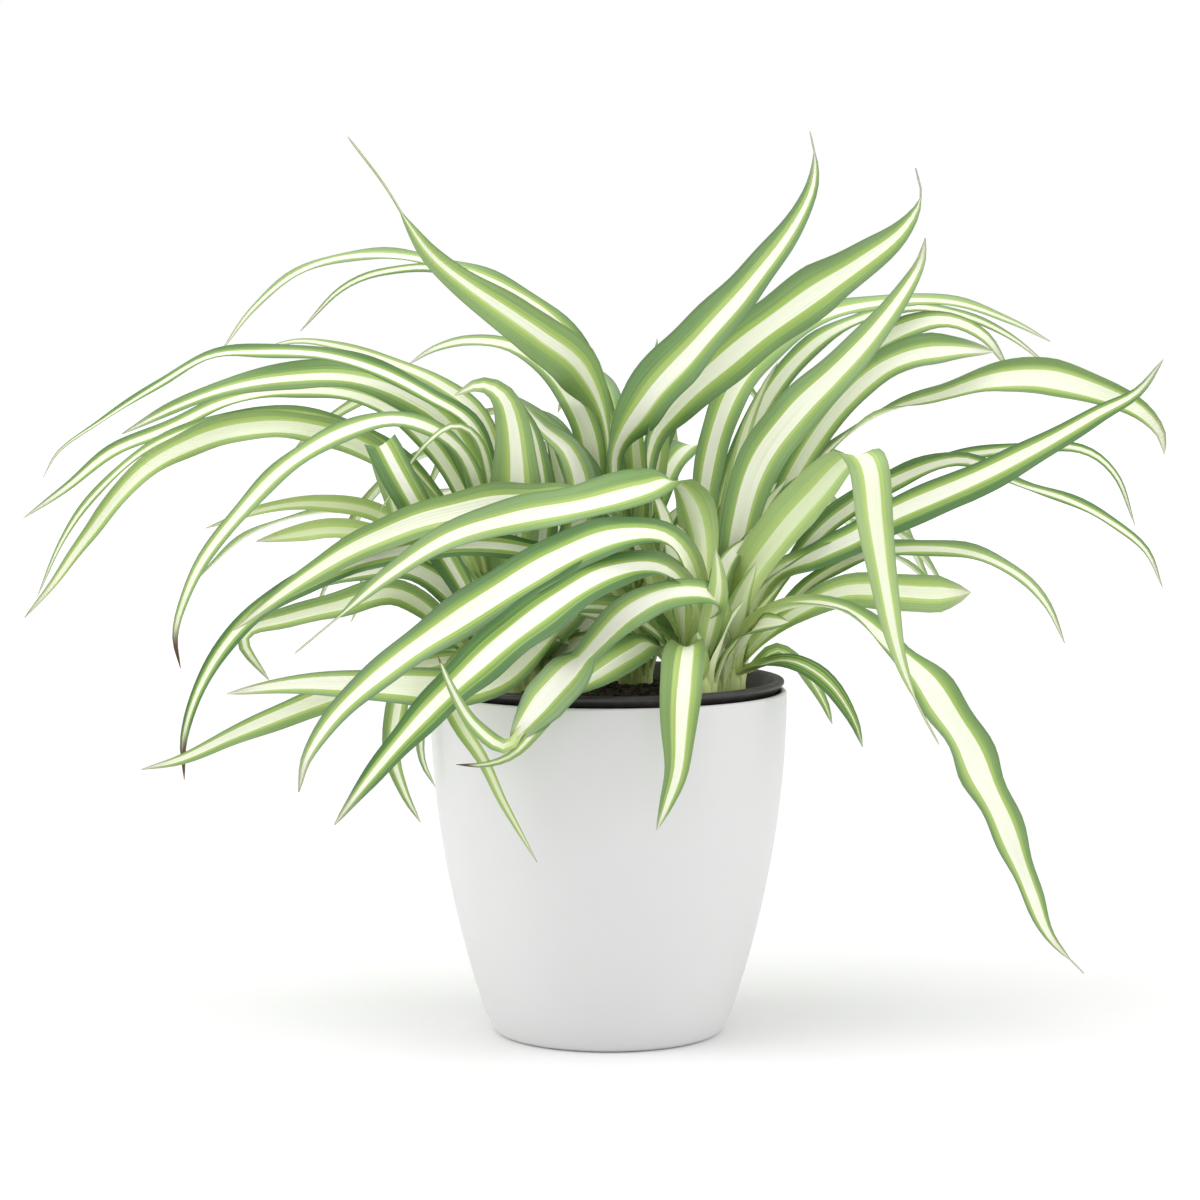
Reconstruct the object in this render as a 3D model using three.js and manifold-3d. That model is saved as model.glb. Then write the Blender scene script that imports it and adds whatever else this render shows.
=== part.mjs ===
// A spider plant of four shoots in a round white cover pot.
// Millimetres, +Z up. The origin is the centre of the pot's flat underside, and -Y is the front.
import * as THREE from 'three';
import { mergeVertices } from 'three/addons/utils/BufferGeometryUtils.js';
import Module from 'manifold-3d';

const wasm = await Module();
wasm.setup();

// Cover pot
const POT_HEIGHT = 135;
const POT_RADIUS = 70;
const POT_TAPER = 24;
const POT_WALL = 2.4;
const POT_FLOOR = 3;
const POT_FOOT_ROUND = 2.5;
const POT_SIDES = 40;
const POT_ROWS = 6;

// Grower's pot inside it, and the soil that fills it
const CLEARANCE = 0.4;
const LINER_WALL = 1.2;
const LINER_FLOOR_RADIUS = 37;
const LINER_TOP_RADIUS = 65;
const LINER_TOP = 139.5;
const LINER_LIP = 4;
const LINER_LIP_HEIGHT = 2.5;
const LINER_SIDES = 32;
const DRAIN_HOLES = 5;
const DRAIN_RADIUS = 4;
const DRAIN_CIRCLE = 24;
const SOIL_LEVEL = 133;
const SOIL_CROWNING = 3;

// Blades
const BLADE_THICKNESS = 0.8;
const BLADE_STEP = 27;
const BLADE_STEPS_LEAST = 5;
const BLADE_STEPS_MOST = 16;
const TIP_SHARE = 0.07;
const BASE_SHARE = 0.4;
const WIDEST = 0.5;

// Crowns: the short thick stems that the leaves of a shoot grow from
const CROWN_RADIUS = 10;
const CROWN_DEPTH = 14;
const CROWN_RISE = 15;
const CROWN_SIDES = 8;
const HOLE_GAP = 0.5;
const LEAF_ROOT_RADIUS = 4;
const LEAF_ROOT_RISE = 6;

// The front elevation is sketched on the upright plane through the pot's axis, as an eye
// at this place sees it; each point is slid along its line of sight to its own depth.
const EYE_DISTANCE = 1250;
const EYE_HEIGHT = 270;

function fromSketch([x, z, depth]) {
  const nearness = 1 + depth / EYE_DISTANCE;
  return new THREE.Vector3(x * nearness, depth, EYE_HEIGHT + (z - EYE_HEIGHT) * nearness);
}

// Each leaf: its width, the tilts of its face from root to tip in degrees (0 looks to the
// front, 90 looks up, 180 looks back), and its midrib as [across, up, depth] in the sketch.
// A pair in place of a tilt gives the tilt and how far the face is turned to the right.
// Two numbers may follow: how far along it is widest, and the share that is a thin end.
// An end is the far part of a leaf that is bent sharply: it starts on the leaf, not the crown.
const SHOOTS = {
  shoot_front: {
    at: [32, -27],
    leaves: [
      [19, [170, 150, 50, 25, 20, 20], [[36, 180, -20], [34, 200, -18], [26, 216, -20], [14, 214, -30],
        [-8, 208, -42], [-35, 203, -52], [-62, 195, -60], [-86, 180, -66], [-105, 164, -70],
        [-123, 149, -72]], 0.4, 0.08],
      [18, [60, 30, 25], [[34, 172, -28], [24, 193, -38], [3, 195, -50], [-22, 185, -60],
        [-50, 168, -70], [-80, 148, -80], [-104, 128, -86], [-118, 109, -88], [-122, 94, -88]]],
      [19, [60, 35, 20], [[34, 163, -34], [22, 181, -46], [0, 180, -60], [-25, 165, -74],
        [-50, 145, -86], [-75, 121, -97], [-95, 98, -103], [-108, 81, -105]]],
      [17, [60, 60, 50, 35, 30, 30, 60, 90, 10, 0, 0], [[43, 160, -36], [41, 171, -44], [24, 172, -54],
        [8, 164, -62], [-7, 149, -70], [-20, 136, -78], [-32, 122, -84], [-39, 113, -86]], 0.78],
      [16, [150, 90, 0, 0], [[31, 150, -42], [30, 149, -62], [28, 130, -80], [27, 105, -82],
        [23, 90, -82], [19, 79, -82]], 0.45],
      [16, [120, 60, 30, 10], [[18, 152, -44], [9, 149, -58], [-4, 141, -70], [-20, 131, -76]]],
      [17, [150, 100, 30, 25, 20], [[18, 172, -16], [8, 196, -18], [-10, 210, -24], [-30, 208, -34],
        [-50, 206, -40], [-78, 199, -46], [-105, 187, -52], [-128, 172, -56], [-147, 158, -58]]],
      [11, [60, 30, 30, 10], [[12, 160, -24], [-8, 182, -30], [-35, 190, -40], [-65, 191, -46],
        [-95, 186, -50], [-118, 177, -46], [-138, 165, -44], [-152, 150, -44], [-162, 132, -44],
        [-167, 115, -44], [-167, 99, -44]]],
      [9, [40, 20, 10], [[40, 160, -40], [43, 176, -45], [42, 190, -47]], 0.6],
      [7, [60, 60, 30], [[14, 152, -46], [-6, 144, -64], [-22, 126, -80], [-36, 110, -88],
        [-48, 105, -88], [-60, 105, -88]]],
      [11, [60, 40, 30], [[20, 158, -22], [6, 170, -22], [-8, 180, -22], [-20, 186, -24]]],
      [14, [60, 60, 50], [[24, 152, -30], [12, 162, -36], [0, 167, -40], [-12, 167, -44],
        [-22, 163, -48]]],
    ],
    ends: [
      [6, [10, 20, 20], [[-33, 120, -83.4], [-41, 112, -88], [-53, 121, -93], [-61, 134, -98],
        [-67, 148, -97]], 0.3],
    ],
  },
  shoot_right: {
    at: [44, -1],
    leaves: [
      [20, [170, 150, 90, 20, 0], [[52, 172, -14], [65, 193, -24], [80, 211, -34], [94, 226, -46],
        [101, 222, -58], [104, 200, -62], [109, 170, -64], [114, 148, -64], [121, 130, -64],
        [130, 113, -64]], 0.38, 0.08],
      [16, [60, 60, 70, 88, 70, 25, 10, 0, 0, 0, 0], [[50, 150, -10], [60, 162, -16], [75, 168, -26],
        [92, 166, -36], [108, 154, -44], [124, 139, -50], [139, 117, -52], [150, 95, -52],
        [159, 75, -50], [167, 54, -48], [175, 36, -46], [188, 22, -44]], 0.56, 0.03],
      [14, [40, 10, 20], [[62, 176, 2], [82, 187, 2], [97, 194, 0], [112, 203, 0], [140, 215, -2],
        [166, 228, -4], [190, 242, -6], [206, 251, -8], [216, 264, -8]]],
      [10, [60, 20, 70, 20], [[64, 172, 12], [80, 194, 14], [94, 206, 14], [112, 217, 14],
        [138, 225, 12], [158, 216, 10], [178, 210, 8], [196, 201, 8], [210, 190, 6], [217, 175, 4]]],
      [15, [60, 60, 60, 70, 85, 88, 70, 35, 15, 10, 10], [[50, 168, 6], [60, 196, 10], [75, 217, 12],
        [90, 232, 12], [106, 243, 12], [130, 250, 10], [150, 256, 8], [170, 257, 6], [190, 252, 4],
        [206, 245, 2], [215, 236, 0], [217, 227, 0]], 0.7],
      [18, [20, 10, 10, 40], [[46, 168, -8], [51, 198, -8], [58, 222, -8], [72, 242, -10],
        [88, 258, -12], [102, 273, -14], [114, 289, -16], [121, 301, -16], [123, 311, -16]]],
      [14, [30, 20, 60, 50], [[40, 170, 2], [37, 200, 6], [40, 226, 10], [48, 250, 14], [62, 268, 18],
        [82, 280, 22], [108, 286, 24], [134, 286, 26], [156, 279, 26], [172, 271, 26]]],
      [7, [20, 10, 10], [[44, 172, -2], [47, 205, 0], [53, 234, 2], [60, 252, 4], [66, 263, 4]]],
      [10, [30, 30, 60, 40], [[42, 175, 10], [46, 212, 16], [60, 245, 22], [75, 265, 28], [92, 277, 32],
        [116, 284, 34], [138, 281, 34], [156, 273, 34], [172, 261, 34]]],
      [17, [30, 40, 50, 30], [[52, 182, 14], [62, 218, 20], [78, 247, 24], [96, 264, 24],
        [114, 275, 22], [131, 279, 20], [146, 273, 18], [156, 260, 18]]],
      [14, [30, 30, 30], [[55, 178, 12], [68, 212, 15], [84, 239, 16], [102, 258, 14], [118, 266, 10],
        [135, 268, 8], [150, 267, 6]], 0.8],
      [9, [60, 50, 30], [[64, 160, 4], [80, 177, 6], [98, 187, 6], [114, 190, 6], [132, 190, 6],
        [147, 187, 4], [162, 179, 2], [172, 168, 0], [179, 153, 0]]],
      [15, [60, 20, 10], [[60, 154, -6], [74, 165, -9], [92, 173, -12], [112, 173, -16],
        [128, 172, -18], [142, 173, -18]], 0.8],
      [8, [60, 60, 30], [[56, 142, 10], [66, 150, 14], [76, 143, 18], [84, 131, 20], [88, 121, 20]]],
      [9, [60, 50, 20], [[57, 143, -10], [68, 146, -22], [78, 143, -30], [88, 135, -34], [96, 123, -36],
        [100, 112, -36]]],
      [8, [60, 60, 20], [[60, 165, 24], [88, 205, 32], [126, 223, 34], [160, 229, 34], [184, 229, 32],
        [198, 219, 30], [206, 199, 30]]],
    ],
  },
  shoot_back: {
    at: [8, 26],
    leaves: [
      [20, [[0, 84], [0, 84], [0, 84], [0, 84], [3, 55], [5, 12], 10, 10, 10, 10, 10], [[7, 172, 18],
        [4, 205, 10], [2, 228, 2], [15, 250, -6], [36, 273, -14], [54, 293, -20], [69, 312, -24],
        [78, 328, -26], [80, 341, -26], [78, 352, -26]], 0.5, 0.03],
      [20, [[0, 84], [0, 84], [0, 84], [0, 84], [3, 55], [5, 16], 10, 10, 15, 20, 20], [[13, 172, 20],
        [14, 205, 14], [16, 230, 8], [26, 246, 4], [48, 266, 0], [73, 285, -2], [97, 301, -4],
        [113, 313, -6], [121, 326, -6], [119, 338, -6]], 0.7, 0.05],
      [19, [[0, -80], [0, -80], [0, -80], [0, -80], [0, -70], [5, -20], 15, 15, 15, 25, 30],
        [[4, 172, 24], [1, 205, 20], [-1, 238, 16], [-11, 260, 12], [-26, 272, 11], [-36, 279, 10],
        [-56, 293, 8], [-69, 304, 6], [-77, 315, 4], [-86, 330, 2], [-101, 350, 2]], 0.58, 0.14],
      [11, [20, 30, 60, 50], [[8, 172, 30], [5, 210, 30], [-5, 252, 30], [-19, 276, 32], [-42, 292, 34],
        [-70, 302, 36], [-98, 304, 36], [-120, 298, 36], [-138, 284, 36], [-151, 267, 36]]],
      [9, [20, 50, 60, 40], [[2, 172, 34], [-4, 210, 38], [-16, 252, 42], [-36, 282, 46],
        [-62, 298, 48], [-86, 298, 48], [-104, 291, 48], [-120, 275, 48]]],
      [12, [20, 30, 55, 40], [[0, 172, 22], [-4, 205, 20], [-9, 236, 20], [-20, 256, 22],
        [-36, 268, 24], [-54, 271, 26], [-68, 268, 28], [-78, 262, 28]]],
      [13, [20, 30, 40], [[-3, 165, 20], [-5, 195, 18], [-8, 216, 16], [-20, 234, 15], [-36, 247, 14],
        [-50, 253, 16]]],
      [10, [20, 20, 20], [[15, 170, 30], [16, 205, 30], [20, 235, 30], [18, 258, 28], [19, 272, 26]]],
      [9, [10, 10, 10], [[11, 170, 34], [12, 205, 36], [10, 240, 36], [14, 262, 34], [22, 270, 32]]],
      [12, [30, 30, 20], [[-4, 158, 28], [-18, 178, 31], [-30, 200, 33], [-38, 224, 34]]],
      [11, [20, 20, 20], [[0, 165, 26], [-10, 190, 27], [-18, 214, 28], [-24, 236, 28]]],
    ],
  },
  shoot_left: {
    at: [-33, 2],
    leaves: [
      [20, [30, 10, 0, 10, 40], [[-36, 170, -12], [-37, 195, -20], [-36, 220, -24], [-38, 240, -26],
        [-42, 250, -28], [-50, 254, -30], [-60, 250, -30]]],
      [13, [20, 10, 0], [[-28, 172, -6], [-26, 205, -10], [-29, 232, -12], [-35, 246, -13],
        [-38, 253, -14]]],
      [15, [20, 0, 10], [[-22, 165, -6], [-13, 190, -8], [-10, 212, -8], [-15, 228, -8], [-26, 238, -8],
        [-36, 249, -8]]],
      [9, [40, 50, 50], [[-38, 172, 4], [-42, 212, 6], [-50, 240, 6], [-66, 254, 6], [-86, 263, 6],
        [-106, 269, 4], [-122, 271, 2], [-138, 267, 0]]],
      [8, [40, 40, 50, 60], [[-40, 172, -4], [-44, 210, -4], [-52, 237, -6], [-70, 250, -8],
        [-90, 260, -8], [-112, 266, -8], [-136, 267, -8], [-156, 265, -8], [-176, 254, -8],
        [-198, 240, -8], [-214, 229, -8], [-221, 218, -8]]],
      [16, [40, 30, 40, 30], [[-42, 172, 10], [-48, 208, 14], [-60, 236, 16], [-78, 250, 16],
        [-100, 257, 16], [-124, 257, 16], [-148, 253, 16], [-170, 245, 16], [-190, 235, 16]]],
      [12, [40, 50, 60, 10], [[-44, 168, 16], [-54, 205, 26], [-72, 234, 32], [-96, 249, 34],
        [-124, 252, 34], [-150, 247, 32], [-172, 237, 30], [-194, 228, 28], [-212, 214, 26],
        [-229, 202, 26]]],
      [8, [40, 50, 60, 40], [[-44, 160, 14], [-58, 195, 20], [-80, 225, 24], [-108, 240, 26],
        [-136, 243, 26], [-160, 238, 24], [-182, 228, 22], [-202, 210, 20], [-214, 193, 18],
        [-224, 171, 16]]],
      [12, [40, 40, 10, 0], [[-46, 160, 8], [-60, 192, 10], [-84, 222, 12], [-112, 236, 12],
        [-138, 238, 12], [-162, 232, 10], [-184, 219, 8], [-204, 195, 6], [-218, 176, 6],
        [-229, 163, 6]]],
      [10, [40, 60, 40, 20], [[-42, 165, -10], [-48, 200, -16], [-58, 228, -20], [-80, 240, -24],
        [-104, 235, -28], [-126, 222, -32], [-144, 204, -34], [-159, 185, -34], [-167, 168, -34],
        [-170, 155, -34], [-168, 143, -34]]],
      [13, [20, 0, 0, 0, 20, 160, 175], [[-46, 155, -14], [-60, 180, -24], [-74, 204, -30],
        [-84, 222, -35], [-89, 231, -34], [-88, 225, -26], [-84, 207, -20], [-80, 190, -17]], 0.6],
      [8, [40, 10, 10], [[-46, 150, 10], [-64, 182, 14], [-88, 203, 14], [-112, 208, 12],
        [-134, 206, 10], [-158, 198, 8]]],
      [8, [40, 20, 10], [[-48, 148, 2], [-64, 174, 0], [-86, 193, -2], [-108, 198, -4],
        [-138, 193, -6]], 0.75],
      [5, [60, 60, 60], [[-38, 160, -12], [-44, 200, -16], [-50, 230, -22], [-60, 238, -26],
        [-72, 230, -28], [-82, 216, -28], [-90, 204, -28]]],
      [9, [40, 30, 30], [[-40, 165, 20], [-52, 205, 32], [-68, 238, 42], [-86, 251, 46],
        [-102, 245, 48], [-116, 235, 48], [-126, 224, 48]]],
      [11, [60, 30, 20], [[-48, 148, -12], [-60, 170, -18], [-78, 182, -24], [-100, 180, -30],
        [-120, 174, -34]]],
      [11, [60, 20, 20, 10], [[-50, 143, -6], [-66, 162, -12], [-84, 173, -18], [-106, 168, -20],
        [-126, 163, -22], [-140, 159, -22], [-143, 152, -22], [-133, 138, -20]]],
      [15, [60, 60, 20, 10, 10], [[-22, 156, -26], [-32, 148, -52], [-44, 139, -70], [-62, 135, -75],
        [-84, 136, -70], [-108, 137, -65], [-130, 136, -62], [-150, 133, -60]]],
      [11, [60, 10, 10], [[-46, 137, -14], [-58, 146, -26], [-78, 142, -36], [-102, 134, -46],
        [-124, 126, -52], [-148, 116, -56], [-168, 107, -58], [-184, 103, -58]]],
      [9, [150, 60, 0, 0], [[-52, 143, 4], [-66, 150, 4], [-79, 141, 2], [-84, 123, 0], [-85, 108, 0],
        [-80, 93, 0], [-74, 82, 0]]],
      [6, [60, 0, 30], [[-42, 143, -22], [-52, 151, -38], [-61, 144, -52], [-63, 132, -62],
        [-58, 120, -71], [-49, 106, -78], [-41, 89, -82], [-28, 66, -84]]],
      [6, [60, 60, 0], [[-50, 144, -18], [-62, 150, -24], [-72, 138, -27], [-74, 118, -27],
        [-73, 106, -27], [-68, 96, -27]]],
      [12, [30, 20, 20], [[-26, 158, -2], [-17, 178, -4], [-8, 196, -4], [0, 214, -4]]],
      [11, [40, 30, 20], [[-24, 152, -6], [-14, 164, -8], [-5, 173, -8], [2, 181, -8]]],
    ],
  },
};

// Leaves that grow away from the front, hidden behind the others: a fan at each shoot.
// Each fan: the compass range in degrees (90 is straight back), then the reach, the height of
// the arch and the fall from it, each for even and for odd leaves, and how many there are.
const REAR_FANS = {
  shoot_back: [
    { from: 28, to: 152, reach: [150, 185], arch: [88, 70], fall: [70, 62], width: 15, count: 7 },
    { from: 50, to: 138, reach: [92, 118], arch: [120, 104], fall: [18, 40], width: 14, count: 4 },
  ],
  shoot_left: [
    { from: 128, to: 158, reach: [120, 150], arch: [52, 64], fall: [26, 32], width: 13, count: 2 },
  ],
  shoot_right: [
    { from: 12, to: 32, reach: [94, 112], arch: [52, 62], fall: [26, 32], width: 13, count: 2 },
  ],
};

function mix(a, b, share) {
  return a + (b - a) * share;
}

function manifoldOf(geometry) {
  const bare = geometry.clone();
  bare.deleteAttribute('normal');
  bare.deleteAttribute('uv');
  const welded = mergeVertices(bare, 1e-5);
  return new wasm.Manifold(new wasm.Mesh({
    numProp: 3,
    vertProperties: new Float32Array(welded.attributes.position.array),
    triVerts: new Uint32Array(welded.index.array),
  }));
}

// The largest connected body, so that a loose scrap is dropped and a sealed bubble is filled.
function geometryOf(solid) {
  const bodies = solid.decompose().sort((a, b) => Math.abs(b.volume()) - Math.abs(a.volume()));
  const mesh = bodies[0].getMesh();
  const geometry = new THREE.BufferGeometry();
  geometry.setAttribute('position', new THREE.BufferAttribute(new Float32Array(mesh.vertProperties), 3));
  geometry.setIndex(new THREE.BufferAttribute(new Uint32Array(mesh.triVerts), 1));
  geometry.computeVertexNormals();
  return geometry;
}

function lathe(profile, sides) {
  const points = profile.map(([radius, z]) => new THREE.Vector2(radius, z));
  return new THREE.LatheGeometry(points, sides).rotateX(Math.PI / 2);
}

// The radius of the cover pot's outer face at a height: widest and upright at the rim.
function potRadius(z) {
  return POT_RADIUS - POT_TAPER * (1 - z / POT_HEIGHT) ** 2;
}

function coverPot() {
  const outside = [];
  const inside = [];
  for (let row = 0; row <= POT_ROWS; row += 1) {
    const share = row / POT_ROWS;
    const outerZ = mix(POT_FOOT_ROUND, POT_HEIGHT - 0.8, share);
    const innerZ = mix(POT_FLOOR + POT_FOOT_ROUND, POT_HEIGHT - 0.8, share);
    outside.push([potRadius(outerZ), outerZ]);
    inside.unshift([potRadius(innerZ) - POT_WALL, innerZ]);
  }
  const foot = potRadius(0);
  return lathe([
    [0, 0],
    [foot - POT_FOOT_ROUND, 0],
    [foot - 0.7, 0.8],
    ...outside,
    [POT_RADIUS - 0.7, POT_HEIGHT],
    [POT_RADIUS - POT_WALL + 0.7, POT_HEIGHT],
    ...inside,
    [foot - POT_WALL - POT_FOOT_ROUND, POT_FLOOR],
    [0, POT_FLOOR],
  ], POT_SIDES);
}

function linerRadius(z) {
  return mix(LINER_FLOOR_RADIUS, LINER_TOP_RADIUS, (z - POT_FLOOR) / (LINER_TOP - POT_FLOOR));
}

function growersPot() {
  const bottom = POT_FLOOR + CLEARANCE;
  const shell = manifoldOf(lathe([
    [0, bottom],
    [LINER_FLOOR_RADIUS, bottom],
    [linerRadius(LINER_TOP - 2 * LINER_LIP), LINER_TOP - 2 * LINER_LIP],
    [linerRadius(LINER_TOP) + LINER_LIP, LINER_TOP - LINER_LIP_HEIGHT],
    [linerRadius(LINER_TOP) + LINER_LIP, LINER_TOP],
    [linerRadius(LINER_TOP), LINER_TOP],
    [linerRadius(bottom + LINER_WALL) - LINER_WALL, bottom + LINER_WALL],
    [0, bottom + LINER_WALL],
  ], LINER_SIDES));
  let pot = shell;
  for (let hole = 0; hole < DRAIN_HOLES; hole += 1) {
    const angle = (2 * Math.PI * hole) / DRAIN_HOLES;
    const drill = new THREE.CylinderGeometry(DRAIN_RADIUS, DRAIN_RADIUS, 4 * LINER_WALL, 12);
    drill.rotateX(Math.PI / 2);
    drill.translate(DRAIN_CIRCLE * Math.cos(angle), DRAIN_CIRCLE * Math.sin(angle), bottom);
    pot = pot.subtract(manifoldOf(drill));
  }
  return geometryOf(pot);
}

// The soil is a plug with a low mound, and a plain hole for the crown of each shoot.
function soil() {
  const bottom = POT_FLOOR + CLEARANCE + LINER_WALL + CLEARANCE;
  const side = LINER_WALL + CLEARANCE;
  const rise = [[0, SOIL_CROWNING], [0.4, 0.85 * SOIL_CROWNING], [0.75, 0.4 * SOIL_CROWNING]];
  const edge = linerRadius(SOIL_LEVEL) - side;
  let plug = manifoldOf(lathe([
    [0, bottom],
    [linerRadius(bottom) - side, bottom],
    [edge, SOIL_LEVEL],
    ...rise.reverse().map(([share, height]) => [share * edge, SOIL_LEVEL + height]),
  ], LINER_SIDES));
  for (const { at } of Object.values(SHOOTS)) {
    const depth = CROWN_DEPTH + HOLE_GAP;
    const radius = CROWN_RADIUS + HOLE_GAP;
    const hole = new THREE.CylinderGeometry(radius, radius, 2 * depth, 20);
    hole.rotateX(Math.PI / 2);
    hole.translate(at[0], at[1], SOIL_LEVEL);
    plug = plug.subtract(manifoldOf(hole));
  }
  return geometryOf(plug);
}

function crown([x, y]) {
  const body = lathe([
    [0, SOIL_LEVEL - CROWN_DEPTH],
    [0.7 * CROWN_RADIUS, SOIL_LEVEL - CROWN_DEPTH],
    [CROWN_RADIUS, SOIL_LEVEL - 0.5 * CROWN_DEPTH],
    [CROWN_RADIUS, SOIL_LEVEL + 0.5 * CROWN_RISE],
    [0.6 * CROWN_RADIUS, SOIL_LEVEL + CROWN_RISE],
    [0, SOIL_LEVEL + 1.1 * CROWN_RISE],
  ], CROWN_SIDES);
  return body.translate(x, y, 0);
}

// A leaf's share of its full width: a narrow channelled base, the widest place at the share
// of the blade that peak says, then a taper to the thin end.
function widthShare(s, peak, thinEnd) {
  const place = Math.min(1, s / (1 - thinEnd));
  const base = mix(BASE_SHARE, 1, THREE.MathUtils.smoothstep(place, 0, peak));
  const taper = Math.min(1, (1 - place) / (0.92 - peak)) ** 0.7;
  return Math.max(TIP_SHARE, base * taper);
}

// How far the two halves of a blade rise from its midrib, as a share of the half width.
function foldShare(s) {
  return mix(1.1, 0.22, THREE.MathUtils.smoothstep(s, 0, 0.4));
}

function facingAt(facings, s) {
  const place = s * (facings.length - 1);
  const first = Math.min(Math.floor(place), facings.length - 2);
  return facings[first].clone().lerp(facings[first + 1], place - first);
}

// One blade: rings of six points, the upper face first, joined by triangles that are split
// alike above and below.
function blade(width, facings, midrib, peak = WIDEST, thinEnd = 0) {
  const curve = new THREE.CatmullRomCurve3(midrib, false, 'catmullrom', 0.5);
  const wanted = Math.round(curve.getLength() / BLADE_STEP);
  const steps = THREE.MathUtils.clamp(wanted, BLADE_STEPS_LEAST, BLADE_STEPS_MOST);
  const vertices = [];
  for (let step = 0; step <= steps; step += 1) {
    const s = step / steps;
    const centre = curve.getPointAt(s);
    const along = curve.getTangentAt(s);
    const facing = facingAt(facings, s);
    const normal = facing.addScaledVector(along, -facing.dot(along)).normalize();
    const across = new THREE.Vector3().crossVectors(along, normal);
    const half = 0.5 * width * widthShare(s, peak, thinEnd);
    const section = [
      [-half, half * foldShare(s)],
      [0, 0],
      [half, half * foldShare(s)],
    ];
    const below = section.map(([u, v]) => [u, v - BLADE_THICKNESS]).reverse();
    for (const [u, v] of [...section, ...below]) {
      const point = centre.clone().addScaledVector(across, u).addScaledVector(normal, v);
      vertices.push(point.x, point.y, point.z);
    }
  }
  const triangles = [];
  for (let step = 0; step < steps; step += 1) {
    for (let side = 0; side < 6; side += 1) {
      const a = 6 * step + side;
      const b = 6 * step + ((side + 1) % 6);
      if (side < 3) {
        triangles.push(a, b, b + 6, a, b + 6, a + 6);
      } else {
        triangles.push(a, b, a + 6, b, b + 6, a + 6);
      }
    }
  }
  const last = 6 * steps;
  triangles.push(0, 5, 4, 0, 4, 1, 1, 4, 3, 1, 3, 2);
  triangles.push(last, last + 4, last + 5, last, last + 1, last + 4);
  triangles.push(last + 1, last + 3, last + 4, last + 1, last + 2, last + 3);
  return new wasm.Manifold(new wasm.Mesh({
    numProp: 3,
    vertProperties: new Float32Array(vertices),
    triVerts: new Uint32Array(triangles),
  }));
}

function rootPoint([x, y], towards) {
  const outward = new THREE.Vector2(towards.x - x, towards.y - y);
  outward.setLength(Math.min(LEAF_ROOT_RADIUS, outward.length()));
  return new THREE.Vector3(x + outward.x, y + outward.y, SOIL_LEVEL + LEAF_ROOT_RISE);
}

function sketchedBlade([width, tilts, path, peak, thinEnd], root = () => []) {
  const facings = tilts.map((pair) => {
    const [tilt, turn = 0] = [pair].flat().map(THREE.MathUtils.degToRad);
    const level = Math.cos(tilt);
    return new THREE.Vector3(level * Math.sin(turn), -level * Math.cos(turn), Math.sin(tilt));
  });
  const points = path.map(fromSketch);
  return blade(width, facings, [...root(points[0]), ...points], peak, thinEnd);
}

// A leaf of a fan rises from the crown, arches and falls, and its upper face turns from the
// plant's middle at the root to the sky at the top of the arch.
function fanLeaf(at, fan, index) {
  const share = fan.count > 1 ? index / (fan.count - 1) : 0.5;
  const compass = THREE.MathUtils.degToRad(mix(fan.from, fan.to, share));
  const outward = new THREE.Vector3(Math.cos(compass), Math.sin(compass), 0);
  const odd = index % 2;
  const reach = fan.reach[odd];
  const arch = fan.arch[odd];
  const fall = fan.fall[odd];
  const stations = [[0.1, 0.5], [0.3, 0.88], [0.55, 1], [0.8, 0.72], [1, 0]];
  const points = stations.map(([out, up], station) => {
    const low = station < 3 ? 0 : arch - fall;
    const point = outward.clone().multiplyScalar(out * reach);
    point.x += at[0];
    point.y += at[1];
    point.z = SOIL_LEVEL + LEAF_ROOT_RISE + low + up * (arch - low);
    return point;
  });
  const inward = outward.clone().multiplyScalar(-1).setZ(0.5);
  const upward = new THREE.Vector3(0, 0, 1);
  const away = outward.clone().multiplyScalar(0.6).setZ(0.8);
  return blade(fan.width, [inward, upward, away], [rootPoint(at, points[0]), ...points]);
}

function shoot(name) {
  const { at, leaves, ends } = SHOOTS[name];
  let whole = manifoldOf(crown(at));
  for (const leaf of leaves) {
    whole = whole.add(sketchedBlade(leaf, (towards) => [rootPoint(at, towards)]));
  }
  for (const end of ends ?? []) {
    whole = whole.add(sketchedBlade(end));
  }
  for (const fan of REAR_FANS[name] ?? []) {
    for (let index = 0; index < fan.count; index += 1) {
      whole = whole.add(fanLeaf(at, fan, index));
    }
  }
  return geometryOf(whole);
}

function named(name, geometry, colour, roughness) {
  const material = new THREE.MeshStandardMaterial({ color: colour, roughness, metalness: 0 });
  const mesh = new THREE.Mesh(geometry, material);
  mesh.name = name;
  return mesh;
}

const plant = new THREE.Group();
plant.add(named('cover_pot', coverPot(), 0xe9e9e9, 0.45));
plant.add(named('growers_pot', growersPot(), 0x2b2624, 0.6));
plant.add(named('soil', soil(), 0x2a211c, 0.95));
for (const name of Object.keys(SHOOTS)) {
  plant.add(named(name, shoot(name), 0x6f9e4c, 0.45));
}

export default plant;
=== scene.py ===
# A spider plant of four shoots in a round white cover pot, dressed around its solid model.
# Metres, +Z up. The origin is the centre of the pot's flat underside, and -Y is the front.
import math
import random

import bmesh
import bpy
from bpy.props import FloatProperty, FloatVectorProperty, IntProperty, PointerProperty, StringProperty
from mathutils import Matrix, Vector, noise


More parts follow.
